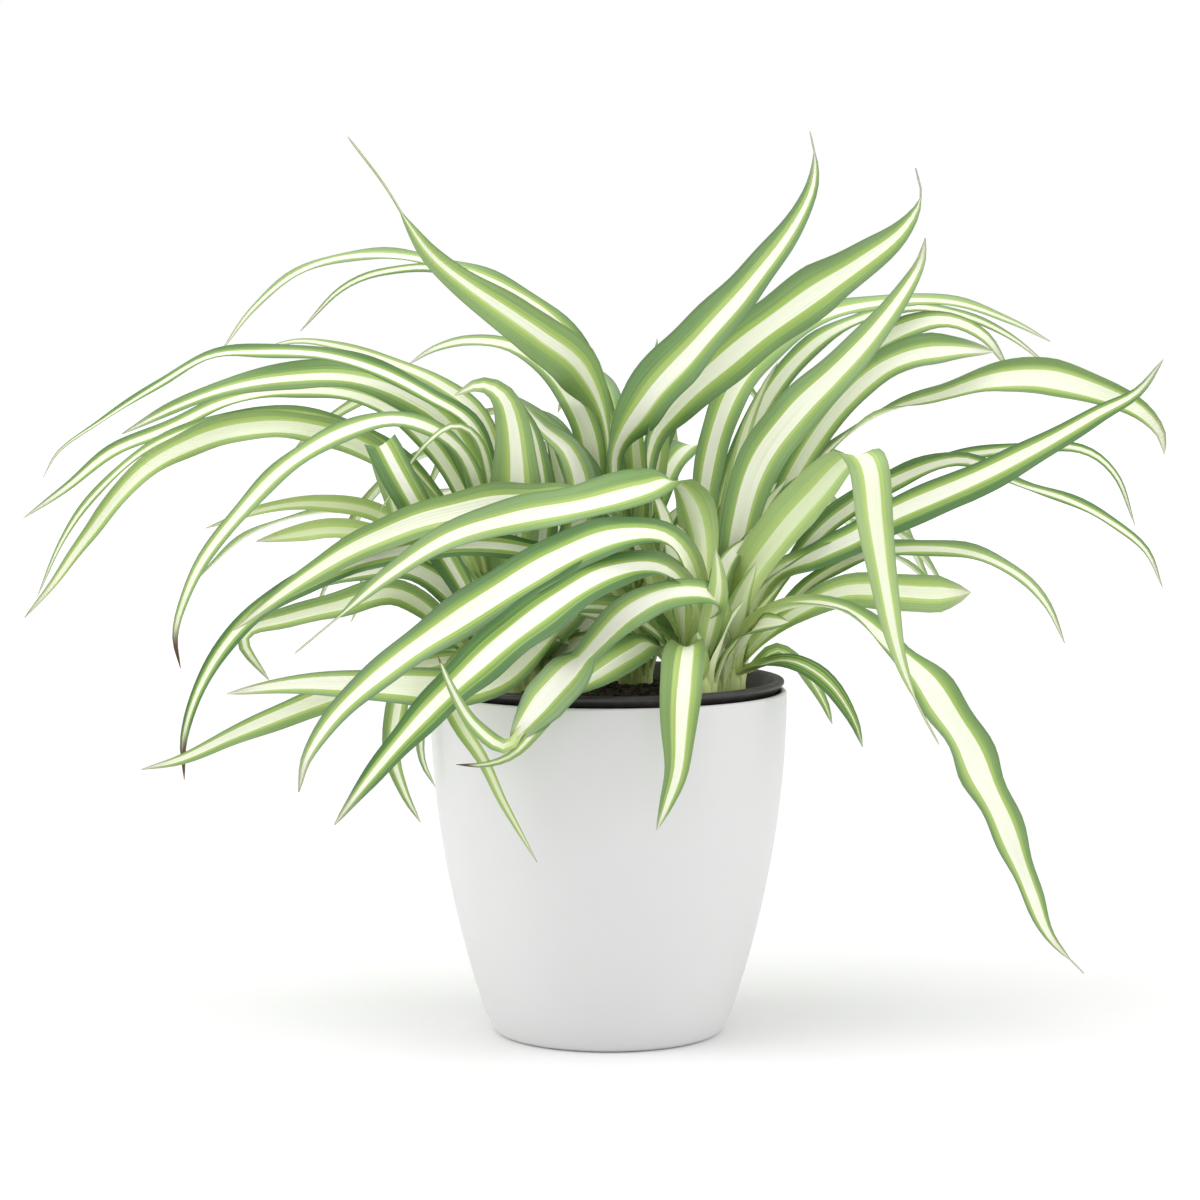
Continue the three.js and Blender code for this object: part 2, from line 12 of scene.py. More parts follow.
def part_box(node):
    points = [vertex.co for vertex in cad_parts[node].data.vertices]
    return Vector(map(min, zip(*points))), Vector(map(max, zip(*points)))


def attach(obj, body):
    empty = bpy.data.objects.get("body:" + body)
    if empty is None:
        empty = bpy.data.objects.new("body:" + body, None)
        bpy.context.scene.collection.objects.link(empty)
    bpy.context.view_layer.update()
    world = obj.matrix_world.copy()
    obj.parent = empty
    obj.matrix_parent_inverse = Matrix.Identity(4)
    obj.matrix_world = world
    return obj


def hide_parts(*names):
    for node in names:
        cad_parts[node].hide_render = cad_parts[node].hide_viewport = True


bl_info = {
    "name": "Potted spider plant",
    "version": (1, 0, 0),
    "blender": (4, 5, 0),
    "location": "View3D > Sidebar > Spider plant",
    "description": "Builds a variegated spider plant in its grower's pot and cover pot",
    "category": "Object",
}

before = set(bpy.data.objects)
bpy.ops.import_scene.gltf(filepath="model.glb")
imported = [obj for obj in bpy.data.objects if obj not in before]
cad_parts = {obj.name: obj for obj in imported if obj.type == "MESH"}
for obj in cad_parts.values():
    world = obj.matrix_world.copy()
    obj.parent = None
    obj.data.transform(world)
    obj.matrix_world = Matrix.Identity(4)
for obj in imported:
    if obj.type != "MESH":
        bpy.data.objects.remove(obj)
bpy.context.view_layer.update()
POT_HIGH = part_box("cover_pot")[1]
LINER_LOW, LINER_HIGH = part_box("growers_pot")
SOIL_LOW, SOIL_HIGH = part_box("soil")

MM = 0.001
TURN = 2 * math.pi

# The eye that the leaves were sketched from, in millimetres: see from_sketch
EYE_DISTANCE = 1250
EYE_HEIGHT = 270
EYE_TARGET = (-3.3, 0, 170)
EYE_LENS = 96

# Grower's pot, soil and crowns, in millimetres
LINER_FOOT_RADIUS = 37
SOIL_LEVEL = 133
SOIL_FOOT_RADIUS = 35.6
CROWN_RADIUS = 10
CROWN_DEPTH = 14
CROWN_RISE = 15
HOLE_GAP = 0.5
LEAF_ROOT_RADIUS = 4
LEAF_ROOT_RISE = 6

# Blades: how wide they are at the root, and how far along long and short ones are widest
BASE_SHARE = 0.4
WIDEST = 0.5
SHORT_LEAF_PEAK = 0.45

# Each leaf: its width, the tilts of its face from root to tip in degrees (0 looks to the
# front, 90 looks up, 180 looks back), and its midrib as [across, up, depth] in the sketch.
# A pair in place of a tilt gives the tilt and how far the face is turned to the right.
# Two numbers may follow: how far along it is widest, and the share that is a thin end.
# An end is the far part of a leaf that is bent sharply: it starts on the leaf, not the crown.
FRONT_LEAVES = [
    [19, [170, 150, 50, 25, 20, 20], [[36, 180, -20], [34, 200, -18], [26, 216, -20], [14, 214, -30],
     [-8, 208, -42], [-35, 203, -52], [-62, 195, -60], [-86, 180, -66], [-105, 164, -70],
     [-123, 149, -72]], 0.4, 0.08],
    [18, [60, 30, 25], [[34, 172, -28], [24, 193, -38], [3, 195, -50], [-22, 185, -60], [-50, 168, -70],
     [-80, 148, -80], [-104, 128, -86], [-118, 109, -88], [-122, 94, -88]]],
    [19, [60, 35, 20], [[34, 163, -34], [22, 181, -46], [0, 180, -60], [-25, 165, -74], [-50, 145, -86],
     [-75, 121, -97], [-95, 98, -103], [-108, 81, -105]]],
    [17, [60, 60, 50, 35, 30, 30, 60, 90, 10, 0, 0], [[43, 160, -36], [41, 171, -44], [24, 172, -54],
     [8, 164, -62], [-7, 149, -70], [-20, 136, -78], [-32, 122, -84], [-39, 113, -86]], 0.78],
    [16, [150, 90, 0, 0], [[31, 150, -42], [30, 149, -62], [28, 130, -80], [27, 105, -82],
     [23, 90, -82], [19, 79, -82]], 0.45],
    [16, [120, 60, 30, 10], [[18, 152, -44], [9, 149, -58], [-4, 141, -70], [-20, 131, -76]]],
    [17, [150, 100, 30, 25, 20], [[18, 172, -16], [8, 196, -18], [-10, 210, -24], [-30, 208, -34],
     [-50, 206, -40], [-78, 199, -46], [-105, 187, -52], [-128, 172, -56], [-147, 158, -58]]],
    [11, [60, 30, 30, 10], [[12, 160, -24], [-8, 182, -30], [-35, 190, -40], [-65, 191, -46],
     [-95, 186, -50], [-118, 177, -46], [-138, 165, -44], [-152, 150, -44], [-162, 132, -44],
     [-167, 115, -44], [-167, 99, -44]]],
    [9, [40, 20, 10], [[40, 160, -40], [43, 176, -45], [42, 190, -47]], 0.6],
    [7, [60, 60, 30], [[14, 152, -46], [-6, 144, -64], [-22, 126, -80], [-36, 110, -88],
     [-48, 105, -88], [-60, 105, -88]]],
    [11, [60, 40, 30], [[20, 158, -22], [6, 170, -22], [-8, 180, -22], [-20, 186, -24]]],
    [14, [60, 60, 50], [[24, 152, -30], [12, 162, -36], [0, 167, -40], [-12, 167, -44],
     [-22, 163, -48]]],
]

FRONT_ENDS = [
    [6, [10, 20, 20], [[-33, 120, -83.4], [-41, 112, -88], [-53, 121, -93], [-61, 134, -98],
     [-67, 148, -97]], 0.3],
]

RIGHT_LEAVES = [
    [20, [170, 150, 90, 20, 0], [[52, 172, -14], [65, 193, -24], [80, 211, -34], [94, 226, -46],
     [101, 222, -58], [104, 200, -62], [109, 170, -64], [114, 148, -64], [121, 130, -64],
     [130, 113, -64]], 0.38, 0.08],
    [16, [60, 60, 70, 88, 70, 25, 10, 0, 0, 0, 0], [[50, 150, -10], [60, 162, -16], [75, 168, -26],
     [92, 166, -36], [108, 154, -44], [124, 139, -50], [139, 117, -52], [150, 95, -52], [159, 75, -50],
     [167, 54, -48], [175, 36, -46], [188, 22, -44]], 0.56, 0.03],
    [14, [40, 10, 20], [[62, 176, 2], [82, 187, 2], [97, 194, 0], [112, 203, 0], [140, 215, -2],
     [166, 228, -4], [190, 242, -6], [206, 251, -8], [216, 264, -8]]],
    [10, [60, 20, 70, 20], [[64, 172, 12], [80, 194, 14], [94, 206, 14], [112, 217, 14], [138, 225, 12],
     [158, 216, 10], [178, 210, 8], [196, 201, 8], [210, 190, 6], [217, 175, 4]]],
    [15, [60, 60, 60, 70, 85, 88, 70, 35, 15, 10, 10], [[50, 168, 6], [60, 196, 10], [75, 217, 12],
     [90, 232, 12], [106, 243, 12], [130, 250, 10], [150, 256, 8], [170, 257, 6], [190, 252, 4],
     [206, 245, 2], [215, 236, 0], [217, 227, 0]], 0.7],
    [18, [20, 10, 10, 40], [[46, 168, -8], [51, 198, -8], [58, 222, -8], [72, 242, -10], [88, 258, -12],
     [102, 273, -14], [114, 289, -16], [121, 301, -16], [123, 311, -16]]],
    [14, [30, 20, 60, 50], [[40, 170, 2], [37, 200, 6], [40, 226, 10], [48, 250, 14], [62, 268, 18],
     [82, 280, 22], [108, 286, 24], [134, 286, 26], [156, 279, 26], [172, 271, 26]]],
    [7, [20, 10, 10], [[44, 172, -2], [47, 205, 0], [53, 234, 2], [60, 252, 4], [66, 263, 4]]],
    [10, [30, 30, 60, 40], [[42, 175, 10], [46, 212, 16], [60, 245, 22], [75, 265, 28], [92, 277, 32],
     [116, 284, 34], [138, 281, 34], [156, 273, 34], [172, 261, 34]]],
    [17, [30, 40, 50, 30], [[52, 182, 14], [62, 218, 20], [78, 247, 24], [96, 264, 24], [114, 275, 22],
     [131, 279, 20], [146, 273, 18], [156, 260, 18]]],
    [14, [30, 30, 30], [[55, 178, 12], [68, 212, 15], [84, 239, 16], [102, 258, 14], [118, 266, 10],
     [135, 268, 8], [150, 267, 6]], 0.8],
    [9, [60, 50, 30], [[64, 160, 4], [80, 177, 6], [98, 187, 6], [114, 190, 6], [132, 190, 6],
     [147, 187, 4], [162, 179, 2], [172, 168, 0], [179, 153, 0]]],
    [15, [60, 20, 10], [[60, 154, -6], [74, 165, -9], [92, 173, -12], [112, 173, -16], [128, 172, -18],
     [142, 173, -18]], 0.8],
    [8, [60, 60, 30], [[56, 142, 10], [66, 150, 14], [76, 143, 18], [84, 131, 20], [88, 121, 20]]],
    [9, [60, 50, 20], [[57, 143, -10], [68, 146, -22], [78, 143, -30], [88, 135, -34], [96, 123, -36],
     [100, 112, -36]]],
    [8, [60, 60, 20], [[60, 165, 24], [88, 205, 32], [126, 223, 34], [160, 229, 34], [184, 229, 32],
     [198, 219, 30], [206, 199, 30]]],
]

BACK_LEAVES = [
    [20, [[0, 84], [0, 84], [0, 84], [0, 84], [3, 55], [5, 12], 10, 10, 10, 10, 10], [[7, 172, 18],
     [4, 205, 10], [2, 228, 2], [15, 250, -6], [36, 273, -14], [54, 293, -20], [69, 312, -24],
     [78, 328, -26], [80, 341, -26], [78, 352, -26]], 0.5, 0.03],
    [20, [[0, 84], [0, 84], [0, 84], [0, 84], [3, 55], [5, 16], 10, 10, 15, 20, 20], [[13, 172, 20],
     [14, 205, 14], [16, 230, 8], [26, 246, 4], [48, 266, 0], [73, 285, -2], [97, 301, -4],
     [113, 313, -6], [121, 326, -6], [119, 338, -6]], 0.7, 0.05],
    [19, [[0, -80], [0, -80], [0, -80], [0, -80], [0, -70], [5, -20], 15, 15, 15, 25, 30],
     [[4, 172, 24], [1, 205, 20], [-1, 238, 16], [-11, 260, 12], [-26, 272, 11], [-36, 279, 10],
     [-56, 293, 8], [-69, 304, 6], [-77, 315, 4], [-86, 330, 2], [-101, 350, 2]], 0.58, 0.14],
    [11, [20, 30, 60, 50], [[8, 172, 30], [5, 210, 30], [-5, 252, 30], [-19, 276, 32], [-42, 292, 34],
     [-70, 302, 36], [-98, 304, 36], [-120, 298, 36], [-138, 284, 36], [-151, 267, 36]]],
    [9, [20, 50, 60, 40], [[2, 172, 34], [-4, 210, 38], [-16, 252, 42], [-36, 282, 46], [-62, 298, 48],
     [-86, 298, 48], [-104, 291, 48], [-120, 275, 48]]],
    [12, [20, 30, 55, 40], [[0, 172, 22], [-4, 205, 20], [-9, 236, 20], [-20, 256, 22], [-36, 268, 24],
     [-54, 271, 26], [-68, 268, 28], [-78, 262, 28]]],
    [13, [20, 30, 40], [[-3, 165, 20], [-5, 195, 18], [-8, 216, 16], [-20, 234, 15], [-36, 247, 14],
     [-50, 253, 16]]],
    [10, [20, 20, 20], [[15, 170, 30], [16, 205, 30], [20, 235, 30], [18, 258, 28], [19, 272, 26]]],
    [9, [10, 10, 10], [[11, 170, 34], [12, 205, 36], [10, 240, 36], [14, 262, 34], [22, 270, 32]]],
    [12, [30, 30, 20], [[-4, 158, 28], [-18, 178, 31], [-30, 200, 33], [-38, 224, 34]]],
    [11, [20, 20, 20], [[0, 165, 26], [-10, 190, 27], [-18, 214, 28], [-24, 236, 28]]],
]

LEFT_LEAVES = [
    [20, [30, 10, 0, 10, 40], [[-36, 170, -12], [-37, 195, -20], [-36, 220, -24], [-38, 240, -26],
     [-42, 250, -28], [-50, 254, -30], [-60, 250, -30]]],
    [13, [20, 10, 0], [[-28, 172, -6], [-26, 205, -10], [-29, 232, -12], [-35, 246, -13],
     [-38, 253, -14]]],
    [15, [20, 0, 10], [[-22, 165, -6], [-13, 190, -8], [-10, 212, -8], [-15, 228, -8], [-26, 238, -8],
     [-36, 249, -8]]],
    [9, [40, 50, 50], [[-38, 172, 4], [-42, 212, 6], [-50, 240, 6], [-66, 254, 6], [-86, 263, 6],
     [-106, 269, 4], [-122, 271, 2], [-138, 267, 0]]],
    [8, [40, 40, 50, 60], [[-40, 172, -4], [-44, 210, -4], [-52, 237, -6], [-70, 250, -8],
     [-90, 260, -8], [-112, 266, -8], [-136, 267, -8], [-156, 265, -8], [-176, 254, -8],
     [-198, 240, -8], [-214, 229, -8], [-221, 218, -8]]],
    [16, [40, 30, 40, 30], [[-42, 172, 10], [-48, 208, 14], [-60, 236, 16], [-78, 250, 16],
     [-100, 257, 16], [-124, 257, 16], [-148, 253, 16], [-170, 245, 16], [-190, 235, 16]]],
    [12, [40, 50, 60, 10], [[-44, 168, 16], [-54, 205, 26], [-72, 234, 32], [-96, 249, 34],
     [-124, 252, 34], [-150, 247, 32], [-172, 237, 30], [-194, 228, 28], [-212, 214, 26],
     [-229, 202, 26]]],
    [8, [40, 50, 60, 40], [[-44, 160, 14], [-58, 195, 20], [-80, 225, 24], [-108, 240, 26],
     [-136, 243, 26], [-160, 238, 24], [-182, 228, 22], [-202, 210, 20], [-214, 193, 18],
     [-224, 171, 16]]],
    [12, [40, 40, 10, 0], [[-46, 160, 8], [-60, 192, 10], [-84, 222, 12], [-112, 236, 12],
     [-138, 238, 12], [-162, 232, 10], [-184, 219, 8], [-204, 195, 6], [-218, 176, 6], [-229, 163, 6]]],
    [10, [40, 60, 40, 20], [[-42, 165, -10], [-48, 200, -16], [-58, 228, -20], [-80, 240, -24],
     [-104, 235, -28], [-126, 222, -32], [-144, 204, -34], [-159, 185, -34], [-167, 168, -34],
     [-170, 155, -34], [-168, 143, -34]]],
    [13, [20, 0, 0, 0, 20, 160, 175], [[-46, 155, -14], [-60, 180, -24], [-74, 204, -30],
     [-84, 222, -35], [-89, 231, -34], [-88, 225, -26], [-84, 207, -20], [-80, 190, -17]], 0.6],
    [8, [40, 10, 10], [[-46, 150, 10], [-64, 182, 14], [-88, 203, 14], [-112, 208, 12], [-134, 206, 10],
     [-158, 198, 8]]],
    [8, [40, 20, 10], [[-48, 148, 2], [-64, 174, 0], [-86, 193, -2], [-108, 198, -4], [-138, 193, -6]],
     0.75],
    [5, [60, 60, 60], [[-38, 160, -12], [-44, 200, -16], [-50, 230, -22], [-60, 238, -26],
     [-72, 230, -28], [-82, 216, -28], [-90, 204, -28]]],
    [9, [40, 30, 30], [[-40, 165, 20], [-52, 205, 32], [-68, 238, 42], [-86, 251, 46], [-102, 245, 48],
     [-116, 235, 48], [-126, 224, 48]]],
    [11, [60, 30, 20], [[-48, 148, -12], [-60, 170, -18], [-78, 182, -24], [-100, 180, -30],
     [-120, 174, -34]]],
    [11, [60, 20, 20, 10], [[-50, 143, -6], [-66, 162, -12], [-84, 173, -18], [-106, 168, -20],
     [-126, 163, -22], [-140, 159, -22], [-143, 152, -22], [-133, 138, -20]]],
    [15, [60, 60, 20, 10, 10], [[-22, 156, -26], [-32, 148, -52], [-44, 139, -70], [-62, 135, -75],
     [-84, 136, -70], [-108, 137, -65], [-130, 136, -62], [-150, 133, -60]]],
    [11, [60, 10, 10], [[-46, 137, -14], [-58, 146, -26], [-78, 142, -36], [-102, 134, -46],
     [-124, 126, -52], [-148, 116, -56], [-168, 107, -58], [-184, 103, -58]]],
    [9, [150, 60, 0, 0], [[-52, 143, 4], [-66, 150, 4], [-79, 141, 2], [-84, 123, 0], [-85, 108, 0],
     [-80, 93, 0], [-74, 82, 0]]],
    [6, [60, 0, 30], [[-42, 143, -22], [-52, 151, -38], [-61, 144, -52], [-63, 132, -62],
     [-58, 120, -71], [-49, 106, -78], [-41, 89, -82], [-28, 66, -84]]],
    [6, [60, 60, 0], [[-50, 144, -18], [-62, 150, -24], [-72, 138, -27], [-74, 118, -27],
     [-73, 106, -27], [-68, 96, -27]]],
    [12, [30, 20, 20], [[-26, 158, -2], [-17, 178, -4], [-8, 196, -4], [0, 214, -4]]],
    [11, [40, 30, 20], [[-24, 152, -6], [-14, 164, -8], [-5, 173, -8], [2, 181, -8]]],
]

# Each shoot: the place of its crown, its leaves and the ends that start on a leaf
SHOOTS = {
    "shoot_front": {"at": [32, -27], "leaves": FRONT_LEAVES, "ends": FRONT_ENDS},
    "shoot_right": {"at": [44, -1], "leaves": RIGHT_LEAVES},
    "shoot_back": {"at": [8, 26], "leaves": BACK_LEAVES},
    "shoot_left": {"at": [-33, 2], "leaves": LEFT_LEAVES},
}

# Leaves that grow away from the front: the compass range in degrees (90 is straight back),
# and the reach, the height of the arch and its fall for even and for odd leaves.
REAR_FANS = {
    "shoot_back": [
        {
            "from": 28, "to": 152, "reach": [150, 185], "arch": [88, 70], "fall": [70, 62],
            "width": 15, "count": 7},
        {
            "from": 50, "to": 138, "reach": [92, 118], "arch": [120, 104], "fall": [18, 40],
            "width": 14, "count": 4},
    ],
    "shoot_left": [
        {
            "from": 128, "to": 158, "reach": [120, 150], "arch": [52, 64], "fall": [26, 32],
            "width": 13, "count": 2},
    ],
    "shoot_right": [
        {
            "from": 12, "to": 32, "reach": [94, 112], "arch": [52, 62], "fall": [26, 32],
            "width": 13, "count": 2},
    ],
}

# How broad the cream stripe is, as a share of a leaf's half width: on long leaves, on those of
# one shoot, and on the short leaves around the crowns
USUAL_STRIPES = (0.32, 0.48)
SHOOT_STRIPES = {"shoot_front": (0.26, 0.38)}
SHORT_LEAF_STRIPES = (0.5, 0.75)

# How dark the greens are, from 0 to 1: the shades that a leaf's own is drawn from
USUAL_DARKNESS = (0.0, 0.15, 0.4, 0.7)
SHOOT_DARKNESS = {"shoot_front": (0.3, 0.6, 1.0)}

# How lime a blade is and how dry its tip, from 0 to 1: what a leaf's own is drawn from
USUAL_LIME = (0.0, 0.0, 0.1, 0.25)
USUAL_DRYNESS = (0.0, 0.0, 0.25)

# What sets single leaves apart, by their place in the shoot's list: the stripe's share, how
# dark, how lime and how dry the leaf is, and how many times more its edges wave
LEAF_LOOKS = {
    "shoot_front": {
        4: {"stripe": 0.30, "dark": 1.0},
        7: {"dry": 1.0},
        8: {"lime": 0.6},
        9: {"dry": 1.0},
    },
    "shoot_right": {
        0: {"stripe": 0.34, "lime": 0.35},
        1: {"stripe": 0.46, "wave": 2.6},
        2: {"stripe": 0.34},
        7: {"lime": 0.5},
        12: {"lime": 0.35},
        13: {"stripe": 0.12, "dark": 1.0, "lime": 0.3},
        14: {"stripe": 0.10, "dark": 1.0},
    },
    "shoot_back": {
        0: {"stripe": 0.28, "dark": 0.6},
        1: {"stripe": 0.30, "dark": 0.5},
        2: {"stripe": 0.22, "dark": 0.5},
        7: {"lime": 0.5},
        8: {"lime": 0.5},
    },
    "shoot_left": {
        0: {"stripe": 0.28, "dark": 0.7, "lime": 0.25},
        5: {"stripe": 0.24, "dark": 0.8, "wave": 1.5},
        8: {"lime": 0.4, "wave": 1.5},
        9: {"dry": 1.0},
        10: {"stripe": 0.22, "dark": 0.8},
        11: {"lime": 0.75},
        12: {"lime": 0.9},
        16: {"lime": 0.3},
        17: {"stripe": 0.50},
        20: {"lime": 0.6},
    },
}

# How many short leaves clasp each crown, and how many of middling length stand around it
INNER_LEAVES = {"shoot_front": 7, "shoot_right": 12, "shoot_back": 16, "shoot_left": 16}
MIDDLE_LEAVES = {"shoot_front": 2, "shoot_right": 7, "shoot_back": 7, "shoot_left": 8}

# Low leaves that lean out of a crown: the way each leans, in degrees (90 is straight back)
LOW_LEAVES = {
    "shoot_front": (118, 150, 172),
    "shoot_right": (60, 100, 160, 300),
    "shoot_back": (20, 186, 208, 232, 262, 310),
    "shoot_left": (-32, -20, -8, 12, 38, 250),
}

# The turn from one short leaf to the next around a crown
GOLDEN_ANGLE = math.radians(137.5)

# Colours in the leaf tissue, beside the three that the settings hold
# The grey green below is painted sheen, standing in for the glossy reflection of the leaves
SHEEN_GREY_GREEN = (0.23, 0.39, 0.14)
VEIN_GREEN = (0.070, 0.165, 0.040)
PALE_GREEN = (0.42, 0.54, 0.32)
DEEP_GREEN = (0.060, 0.150, 0.036)
RIM_GREEN = (0.085, 0.155, 0.065)
LIME_BAND = (0.42, 0.58, 0.13)
FAINT_BAND = (0.46, 0.61, 0.19)
LIME_BLADE = (0.58, 0.72, 0.24)
CREAM_THREAD = (0.62, 0.75, 0.30)
UNDERSIDE = (0.56, 0.73, 0.28)
BASE_CREAM = (0.78, 0.90, 0.38)
FADED_TIP = (0.55, 0.55, 0.42)
DRY_BROWN = (0.13, 0.075, 0.04)

# Pale bits of bark in the compost
COMPOST_FLECK = (0.16, 0.115, 0.075)

# Stage, in metres
FLOOR_DROP = 0.0002
LIGHT_SIZE = 1.4


# Settings


def amount(name, description, default, unit="LENGTH"):
    """A setting that holds a length, or a number in another unit."""
    return FloatProperty(name=name, description=description, default=default, unit=unit)


def colour(name, description, default):
    """A setting that holds a colour."""
    return FloatVectorProperty(
        name=name, description=description, default=default, subtype="COLOR", size=3)


class PlantPotSettings(bpy.types.PropertyGroup):
    rim_radius: amount("Rim radius", "Outer radius of the cover pot at its rim", POT_HIGH.x)
    height: amount("Height", "Height of the cover pot", POT_HIGH.z)
    taper: amount("Taper", "How much narrower the cover pot's radius is at its foot", 24 * MM)
    wall: amount("Wall", "Thickness of the cover pot's wall", 2.4 * MM)
    floor: amount("Floor", "Thickness of the cover pot's floor", 3 * MM)
    outside: colour("Colour", "Colour of the cover pot's plastic", (0.70, 0.70, 0.70))
    liner: colour("Inner pot colour", "Colour of the grower's pot", (0.022, 0.02, 0.019))


class PlantSoilSettings(bpy.types.PropertyGroup):
    crumbs: IntProperty(name="Crumbs", description="Loose crumbs on the soil", default=900, min=0)
    seed: IntProperty(name="Seed", description="Seed of the crumbs' places", default=5)
    earth: colour("Colour", "Colour of the moist compost", (0.028, 0.019, 0.014))


class PlantLeafSettings(bpy.types.PropertyGroup):
    thickness: amount("Thickness", "Thickness of a leaf at its midrib", 0.7 * MM)
    wave: amount("Edge wave", "Height of the waves along a leaf's edges", 0.9 * MM)
    ruffle: FloatProperty(
        name="Edge ruffle", description="How far a leaf's outline swells, as a share of its width",
        default=0.04, min=0.0)
    # Both greens carry a faint grey lift that is painted sheen
    fresh: colour("Fresh green", "Green beside the cream stripe", (0.165, 0.345, 0.055))
    green: colour("Edge green", "Green towards a leaf's edges", (0.095, 0.215, 0.062))
    cream: colour("Cream", "Colour of the stripe along the middle", (0.95, 0.96, 0.82))
    seed: IntProperty(name="Seed", description="Seed of the leaves' small differences", default=11)


class PlantStageSettings(bpy.types.PropertyGroup):
    floor_size: amount("Floor size", "Side of the pale floor", 40.0)
    left_power: amount("Left light", "Power of the large light on the left", 13.0, "POWER")
    right_power: amount("Right light", "Power of the large light on the right", 10.5, "POWER")
    top_power: amount("Top light", "Power of the large light above", 14.0, "POWER")
    surround: FloatProperty(
        name="Surround", description="Strength of the even light from all around", default=0.62)


# Helpers for node trees


def new_material(name):
    material = bpy.data.materials.new(name)
    material.use_nodes = True
    tree = material.node_tree
    return material, tree, tree.nodes["Principled BSDF"]


def set_inputs(tree, node, inputs):
    """Links a node's inputs to the sockets given, and sets them to the values given."""
    for key, value in dict(inputs).items():
        if isinstance(value, bpy.types.NodeSocket):
            tree.links.new(value, node.inputs[key])
        else:
            node.inputs[key].default_value = value


def add_node(tree, kind, inputs=(), **settings):
    node = tree.nodes.new(kind)
    for name, value in settings.items():
        setattr(node, name, value)
    set_inputs(tree, node, inputs)
    return node


def math_node(tree, operation, *values):
    return add_node(tree, "ShaderNodeMath", enumerate(values), operation=operation).outputs[0]


def step_node(tree, value, low, high, to_low=0.0, to_high=1.0):
    """A smooth step of a value from low to high."""
    inputs = {"Value": value, "From Min": low, "From Max": high, "To Min": to_low, "To Max": to_high}
    node = add_node(tree, "ShaderNodeMapRange", inputs, interpolation_type="SMOOTHSTEP")
    return node.outputs["Result"]


def mix_colour(tree, share, first, second):
    """The first colour where share is 0 and the second where it is 1."""
    node = add_node(tree, "ShaderNodeMix", data_type="RGBA")
    for socket, value in (("Factor_Float", share), ("A_Color", first), ("B_Color", second)):
        target = next(s for s in node.inputs if s.identifier == socket)
        if isinstance(value, bpy.types.NodeSocket):
            tree.links.new(value, target)
        elif socket == "Factor_Float":
            target.default_value = value
        else:
            target.default_value = (*value, 1.0)
    return next(s for s in node.outputs if s.identifier == "Result_Color")


def bump(tree, height, distance, strength):
    inputs = {"Height": height, "Distance": distance, "Strength": strength}
    return add_node(tree, "ShaderNodeBump", inputs).outputs["Normal"]


def grain_group():
    """Cloudy and fine unevenness of a moulded or earthy surface, for several materials."""
    group = bpy.data.node_groups.get("surface_grain")
    if group:
        return group
    group = bpy.data.node_groups.new("surface_grain", "ShaderNodeTree")
    sockets = group.interface
    for name, scale in (("Cloud", 30.0), ("Grain", 900.0)):
        size = sockets.new_socket(name + " Scale", in_out="INPUT", socket_type="NodeSocketFloat")
        size.default_value = scale
        sockets.new_socket(name, in_out="OUTPUT", socket_type="NodeSocketFloat")
    given = group.nodes.new("NodeGroupInput")
    result = group.nodes.new("NodeGroupOutput")
    place = add_node(group, "ShaderNodeTexCoord").outputs["Object"]
    for name in ("Cloud", "Grain"):
        scale = given.outputs[name + " Scale"]
        inputs = {"Vector": place, "Scale": scale, "Detail": 3.0, "Roughness": 0.55}
        texture = add_node(group, "ShaderNodeTexNoise", inputs)
        group.links.new(texture.outputs["Fac"], result.inputs[name])
    return group


def grain_node(tree, cloud_scale, grain_scale):
    """The cloudiness and the grain of a surface, at the scales given."""
    scales = {"Cloud Scale": cloud_scale, "Grain Scale": grain_scale}
    return add_node(tree, "ShaderNodeGroup", scales, node_tree=grain_group()).outputs


# Materials


def pot_plastic(white):
    """Moulded white plastic, satin, with a faint cloudiness and a very fine grain."""
    material, tree, shader = new_material("satin_white_plastic")
    cloud, grain = grain_node(tree, cloud_scale=18.0, grain_scale=1400.0)
    darker = tuple(0.965 * c for c in white)
    set_inputs(tree, shader, {
        "Base Color": mix_colour(tree, cloud, darker, white),
        "Roughness": step_node(tree, cloud, 0.3, 0.7, 0.36, 0.44),
        "Specular IOR Level": 0.4,
        "Normal": bump(tree, grain, distance=0.03 * MM, strength=0.35)})
    return material


def liner_plastic(black):
    """Thin dark plastic, dusty in places."""
    material, tree, shader = new_material("thin_dark_plastic")
    cloud, grain = grain_node(tree, cloud_scale=45.0, grain_scale=700.0)
    dusty = tuple(2.6 * c + 0.01 for c in black)
    set_inputs(tree, shader, {
        "Base Color": mix_colour(tree, step_node(tree, cloud, 0.45, 0.75), black, dusty),
        "Roughness": step_node(tree, cloud, 0.3, 0.7, 0.42, 0.62),
        "Normal": bump(tree, grain, distance=0.06 * MM, strength=0.5)})
    return material


def compost(earth):
    """Moist dark compost with lighter patches and flecks."""
    material, tree, shader = new_material("moist_compost")
    cloud, grain = grain_node(tree, cloud_scale=160.0, grain_scale=1100.0)
    brown = tuple(3.2 * c + 0.008 for c in earth)
    patchy = mix_colour(tree, step_node(tree, cloud, 0.42, 0.68), earth, brown)
    set_inputs(tree, shader, {
        "Base Color": mix_colour(tree, step_node(tree, grain, 0.66, 0.74), patchy, COMPOST_FLECK),
        "Roughness": step_node(tree, cloud, 0.3, 0.7, 0.72, 0.95),
        "Normal": bump(tree, grain, distance=0.5 * MM, strength=0.8)})
    return material


def lengthwise_noise(tree, shifted, reach, fine, long, detail):
    """Noise drawn out along a blade, finer across it than along it."""
    x = math_node(tree, "MULTIPLY", shifted, fine)
    y = math_node(tree, "MULTIPLY", reach, long)
    spot = add_node(tree, "ShaderNodeCombineXYZ", {"X": x, "Y": y}).outputs[0]
    inputs = {"Vector": spot, "Scale": 1.0, "Detail": detail, "Roughness": 0.6}
    return add_node(tree, "ShaderNodeTexNoise", inputs).outputs["Fac"]


